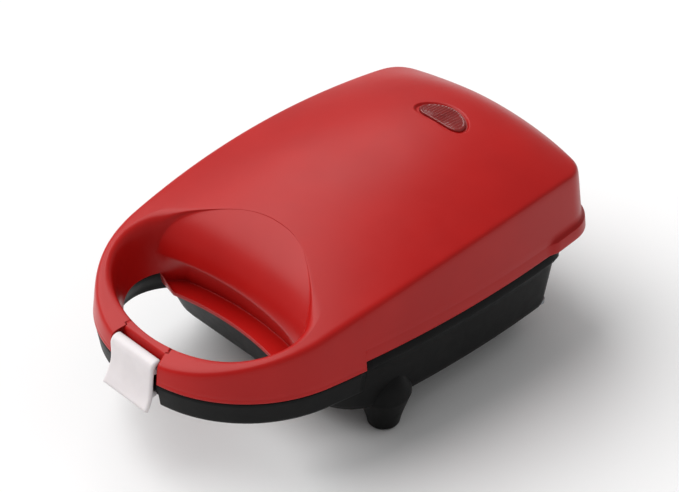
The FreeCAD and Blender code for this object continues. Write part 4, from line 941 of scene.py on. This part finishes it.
surfaces = {
    # ABS moulded in a polished tool: deep even red, soft-edged reflections, a faint ripple
    "polishedAbsRed": {"tones": ("#aa110f", "#b31613"), "cloudMm": 40, "grainMm": 6, "reliefMm": 0.02,
                       "bump": 0.25, "rough": (0.3, 0.36),
                       "shader": {"IOR": 1.53, "Specular IOR Level": 0.2}},
    # PBT moulded in a spark-eroded tool: near black with a fine grain that breaks up reflections
    "erodedPbtBlack": {"tones": ("#090909", "#0f0f0f"), "cloudMm": 14, "grainMm": 0.5, "reliefMm": 0.04,
                       "rough": (0.42, 0.52), "shader": {"IOR": 1.5, "Specular IOR Level": 0.12}},
    # ABS moulded in a blasted tool: warm white with a soft sheen and hardly any grain
    "blastedAbsWhite": {"tones": ("#dcd5d6", "#e3dcdd"), "cloudMm": 10, "grainMm": 0.4, "reliefMm": 0.01,
                        "rough": (0.36, 0.44), "shader": {"IOR": 1.53, "Subsurface Weight": 0.05,
                                                          "Subsurface Radius": (0.002, 0.0015, 0.001)}},
    # acrylic moulded clear and tinted: dark red glass-like body that the seat shows through
    "tintedAcrylicRed": {"tones": ("#961d1b", "#a32623"), "cloudMm": 6, "grainMm": 0.8, "reliefMm": 0.02,
                         "rough": (0.12, 0.2), "shader": {"IOR": 1.49, "Transmission Weight": 0.45}},
    # phenolic frame round the plates: dense black with a pressed, slightly cloudy face
    "pressedPhenolicBlack": {"tones": ("#131314", "#1c1b1b"), "cloudMm": 9, "grainMm": 0.7, "reliefMm": 0.03,
                             "rough": (0.45, 0.56), "shader": {"IOR": 1.6}},
    # PTFE sprayed on cast aluminium: dark grey with a fine pebble and a greasy sheen
    "sprayedPtfeGrey": {"tones": ("#2c2c2d", "#363637"), "cloudMm": 12, "grainMm": 0.6, "reliefMm": 0.05,
                        "rough": (0.4, 0.55), "shader": {"IOR": 1.38, "Metallic": 0.25}},
    # annealed stainless tube: heat-dulled grey brown with drawing lines along it
    "annealedTubeSteel": {"tones": ("#6d675f", "#8b857b"), "cloudMm": 7, "grainMm": 1.2, "reliefMm": 0.02,
                          "stretch": (6, 0.6, 6), "rough": (0.4, 0.6), "shader": {"Metallic": 1}},
    # nickel-plated tabs: pale warm metal, lightly rubbed
    "platedNickel": {"tones": ("#b8b3a8", "#c6c1b6"), "cloudMm": 4, "grainMm": 0.5, "reliefMm": 0.01,
                     "rough": (0.25, 0.38), "shader": {"Metallic": 1}},
    # zinc-plated pressed strip: bluish with a spangle
    "platedZincStrip": {"tones": ("#9fa4a8", "#b4b8bb"), "cloudMm": 3, "grainMm": 0.8, "reliefMm": 0.02,
                        "rough": (0.3, 0.45), "shader": {"Metallic": 1}},
    # zinc-plated screws: bluish and tumbled, so dull on the high spots
    "tumbledZincScrew": {"tones": ("#989da3", "#aeb2b6"), "cloudMm": 1.5, "grainMm": 0.4, "reliefMm": 0.02,
                         "rough": (0.3, 0.5), "shader": {"Metallic": 1}},
    # rolled aluminium sheet: bright with lines along the rolling direction
    "rolledAluminium": {"tones": ("#c4c6c8", "#d2d4d5"), "cloudMm": 15, "grainMm": 1, "reliefMm": 0.015,
                        "stretch": (0.5, 8, 1), "rough": (0.28, 0.42), "shader": {"Metallic": 1}},
    # drawn steel pin: fine lines round it and a light oil film
    "drawnSteelPin": {"tones": ("#8d8f92", "#a2a4a6"), "cloudMm": 2, "grainMm": 0.4, "reliefMm": 0.01,
                      "stretch": (5, 1, 1), "rough": (0.2, 0.34), "shader": {"Metallic": 1}},
    # moulded silicone foot: matt black that scatters light softly
    "mouldedSilicone": {"tones": ("#161616", "#1f1f1f"), "cloudMm": 3, "grainMm": 0.4, "reliefMm": 0.03,
                        "rough": (0.6, 0.75), "shader": {"IOR": 1.43}},
    # nylon, natural colour: milky with a waxy sheen
    "mouldedNylon": {"tones": ("#cfc8ba", "#d9d3c6"), "cloudMm": 5, "grainMm": 0.5, "reliefMm": 0.02,
                     "rough": (0.38, 0.5), "shader": {"IOR": 1.53}},
    # soda glass lamp: clear with a faint warm neon tint
    "blownGlass": {"tones": ("#f0d2bf", "#f5dccb"), "cloudMm": 3, "grainMm": 1.5, "reliefMm": 0.01,
                   "rough": (0.02, 0.06), "shader": {"IOR": 1.52, "Transmission Weight": 0.95}},
    # bakelite thermostat body: brown resin with a flow pattern
    "mouldedBakelite": {"tones": ("#3b2418", "#4d3122"), "cloudMm": 2.5, "grainMm": 0.6, "reliefMm": 0.02,
                        "rough": (0.3, 0.42), "shader": {"IOR": 1.63}},
    # drawn aluminium fuse can: plain and slightly hazy
    "drawnAluminiumCan": {"tones": ("#c2c0ba", "#cfcdc8"), "cloudMm": 2, "grainMm": 0.4, "reliefMm": 0.01,
                          "stretch": (1, 6, 6), "rough": (0.25, 0.4), "shader": {"Metallic": 1}},
    # braided glass sleeve: cream strands crossing at a slant
    "braidedGlass": {"tones": ("#ded7c4", "#ebe5d5"), "cloudMm": 1.5, "weaveMm": 0.8, "reliefMm": 0.25,
                     "bump": 0.9, "rough": (0.6, 0.8), "shader": {"IOR": 1.5, "Sheen Weight": 0.2}},
    # brass terminal screws, nickel worn off the edges
    "turnedBrass": {"tones": ("#b59a58", "#c7ae6c"), "cloudMm": 1, "grainMm": 0.3, "reliefMm": 0.01,
                    "rough": (0.25, 0.4), "shader": {"Metallic": 1}},
    # soft PVC gland: black, matt, faintly dusty
    "softPvcBlack": {"tones": ("#141414", "#1e1e1e"), "cloudMm": 4, "grainMm": 0.5, "reliefMm": 0.02,
                     "rough": (0.55, 0.68), "shader": {"IOR": 1.52}},
    # nylon clamp, black: satin
    "mouldedNylonBlack": {"tones": ("#18181a", "#222224"), "cloudMm": 4, "grainMm": 0.5, "reliefMm": 0.02,
                          "rough": (0.42, 0.52), "shader": {"IOR": 1.53}},
    # silicone wire cover: grey with a dry, slightly chalky face
    "extrudedSilicone": {"tones": ("#7b8288", "#8b9298"), "cloudMm": 5, "grainMm": 0.5, "reliefMm": 0.02,
                         "rough": (0.5, 0.64), "shader": {"IOR": 1.43}},
}
made = {name: makeSurface(name, facts) for name, facts in surfaces.items()}
finishOf = {
    "red_plastic": "polishedAbsRed", "black_plastic": "erodedPbtBlack", "white_plastic": "blastedAbsWhite",
    "lens_plastic": "tintedAcrylicRed", "frame_plastic": "pressedPhenolicBlack",
    "plate_coating": "sprayedPtfeGrey", "tube_steel": "annealedTubeSteel", "tab_steel": "platedNickel",
    "strap_steel": "platedZincStrip", "screw_steel": "tumbledZincScrew",
    "shield_aluminium": "rolledAluminium", "pin_steel": "drawnSteelPin", "pad_rubber": "mouldedSilicone",
    "holder_plastic": "mouldedNylon", "lamp_glass": "blownGlass", "thermostat_body": "mouldedBakelite",
    "fuse_metal": "drawnAluminiumCan", "woven_sleeve": "braidedGlass", "brass_screws": "turnedBrass",
    "gland_rubber": "softPvcBlack", "clamp_plastic": "mouldedNylonBlack", "wire_cover": "extrudedSilicone",
}
for part in frame["record"]["subparts"]:
    node = frame["nodes"][part["node"]]
    for slot in node.material_slots:
        slot.material = made[finishOf[part["material_slot"]]]
for piece in (lidShell, hingeEyes):
    piece.data.materials.append(made["polishedAbsRed"])
for piece in basePieces:
    piece.data.materials.append(made["erodedPbtBlack"])
lampLens.data.materials.append(made["tintedAcrylicRed"])
for piece in (latchPlate, latchBarrel, latchHook):
    piece.data.materials.append(made["blastedAbsWhite"])
print("surfaces laid on")


studio = {
    "floor": "#f6f6f6",
    "worldStrength": 0.4,
    "softbox": {"place": (-1.1, 0.7, 1.2), "size": 0.6, "watts": 3},
    "skylight": {"place": (-0.75, -0.35, 1), "spread": 60, "strength": 2.7},
}


def aim(thing, place, target):
    thing.location = place
    thing.rotation_euler = (Vector(target) - Vector(place)).to_track_quat("-Z", "Y").to_euler()


def makeStudio():
    floor = newPiece("floor", [(-4000, -4000, 0), (4000, -4000, 0), (4000, 4000, 0), (-4000, 4000, 0)],
                     [(0, 1, 2, 3)])
    floor.data.materials.append(makeSurface("paintedBoard", {
        "tones": (studio["floor"], studio["floor"]), "cloudMm": 300, "grainMm": 3, "reliefMm": 0.01,
        "bump": 0.1, "rough": (0.7, 0.75)}))
    world = bpy.data.worlds.new("studioAir")
    world.use_nodes = True
    sky = world.node_tree.nodes["Background"]
    sky.inputs["Color"].default_value = (1, 1, 1, 1)
    sky.inputs["Strength"].default_value = studio["worldStrength"]
    bpy.context.scene.world = world
    softbox = bpy.data.lights.new("softbox", "AREA")
    softbox.size = studio["softbox"]["size"]
    softbox.energy = studio["softbox"]["watts"]
    skylight = bpy.data.lights.new("skylight", "SUN")
    skylight.angle = math.radians(studio["skylight"]["spread"])
    skylight.energy = studio["skylight"]["strength"]
    for lamp in (softbox, skylight):
        holder = bpy.data.objects.new(lamp.name, lamp)
        bpy.context.scene.collection.objects.link(holder)
        aim(holder, studio[lamp.name]["place"], (0, 0, 0))


view = {"azimuth": 47.61, "elevation": 35.92, "distance": 1.1762, "target": (-0.00936, 0.01624, 0.04),
        "lens": 146.7}


def makeCamera():
    camera = bpy.data.objects.new("camera", bpy.data.cameras.new("camera"))
    camera.data.lens = view["lens"]
    camera.data.sensor_width = 36
    camera.data.clip_end = 10
    turn = math.radians(view["azimuth"])
    tilt = math.radians(view["elevation"])
    away = Vector((math.sin(turn) * math.cos(tilt), -math.cos(turn) * math.cos(tilt), math.sin(tilt)))
    aim(camera, Vector(view["target"]) + away * view["distance"], view["target"])
    bpy.context.scene.collection.objects.link(camera)
    bpy.context.scene.camera = camera


makeStudio()
makeCamera()
bpy.context.scene.view_settings.view_transform = "Standard"
print("floor, lights and camera set")
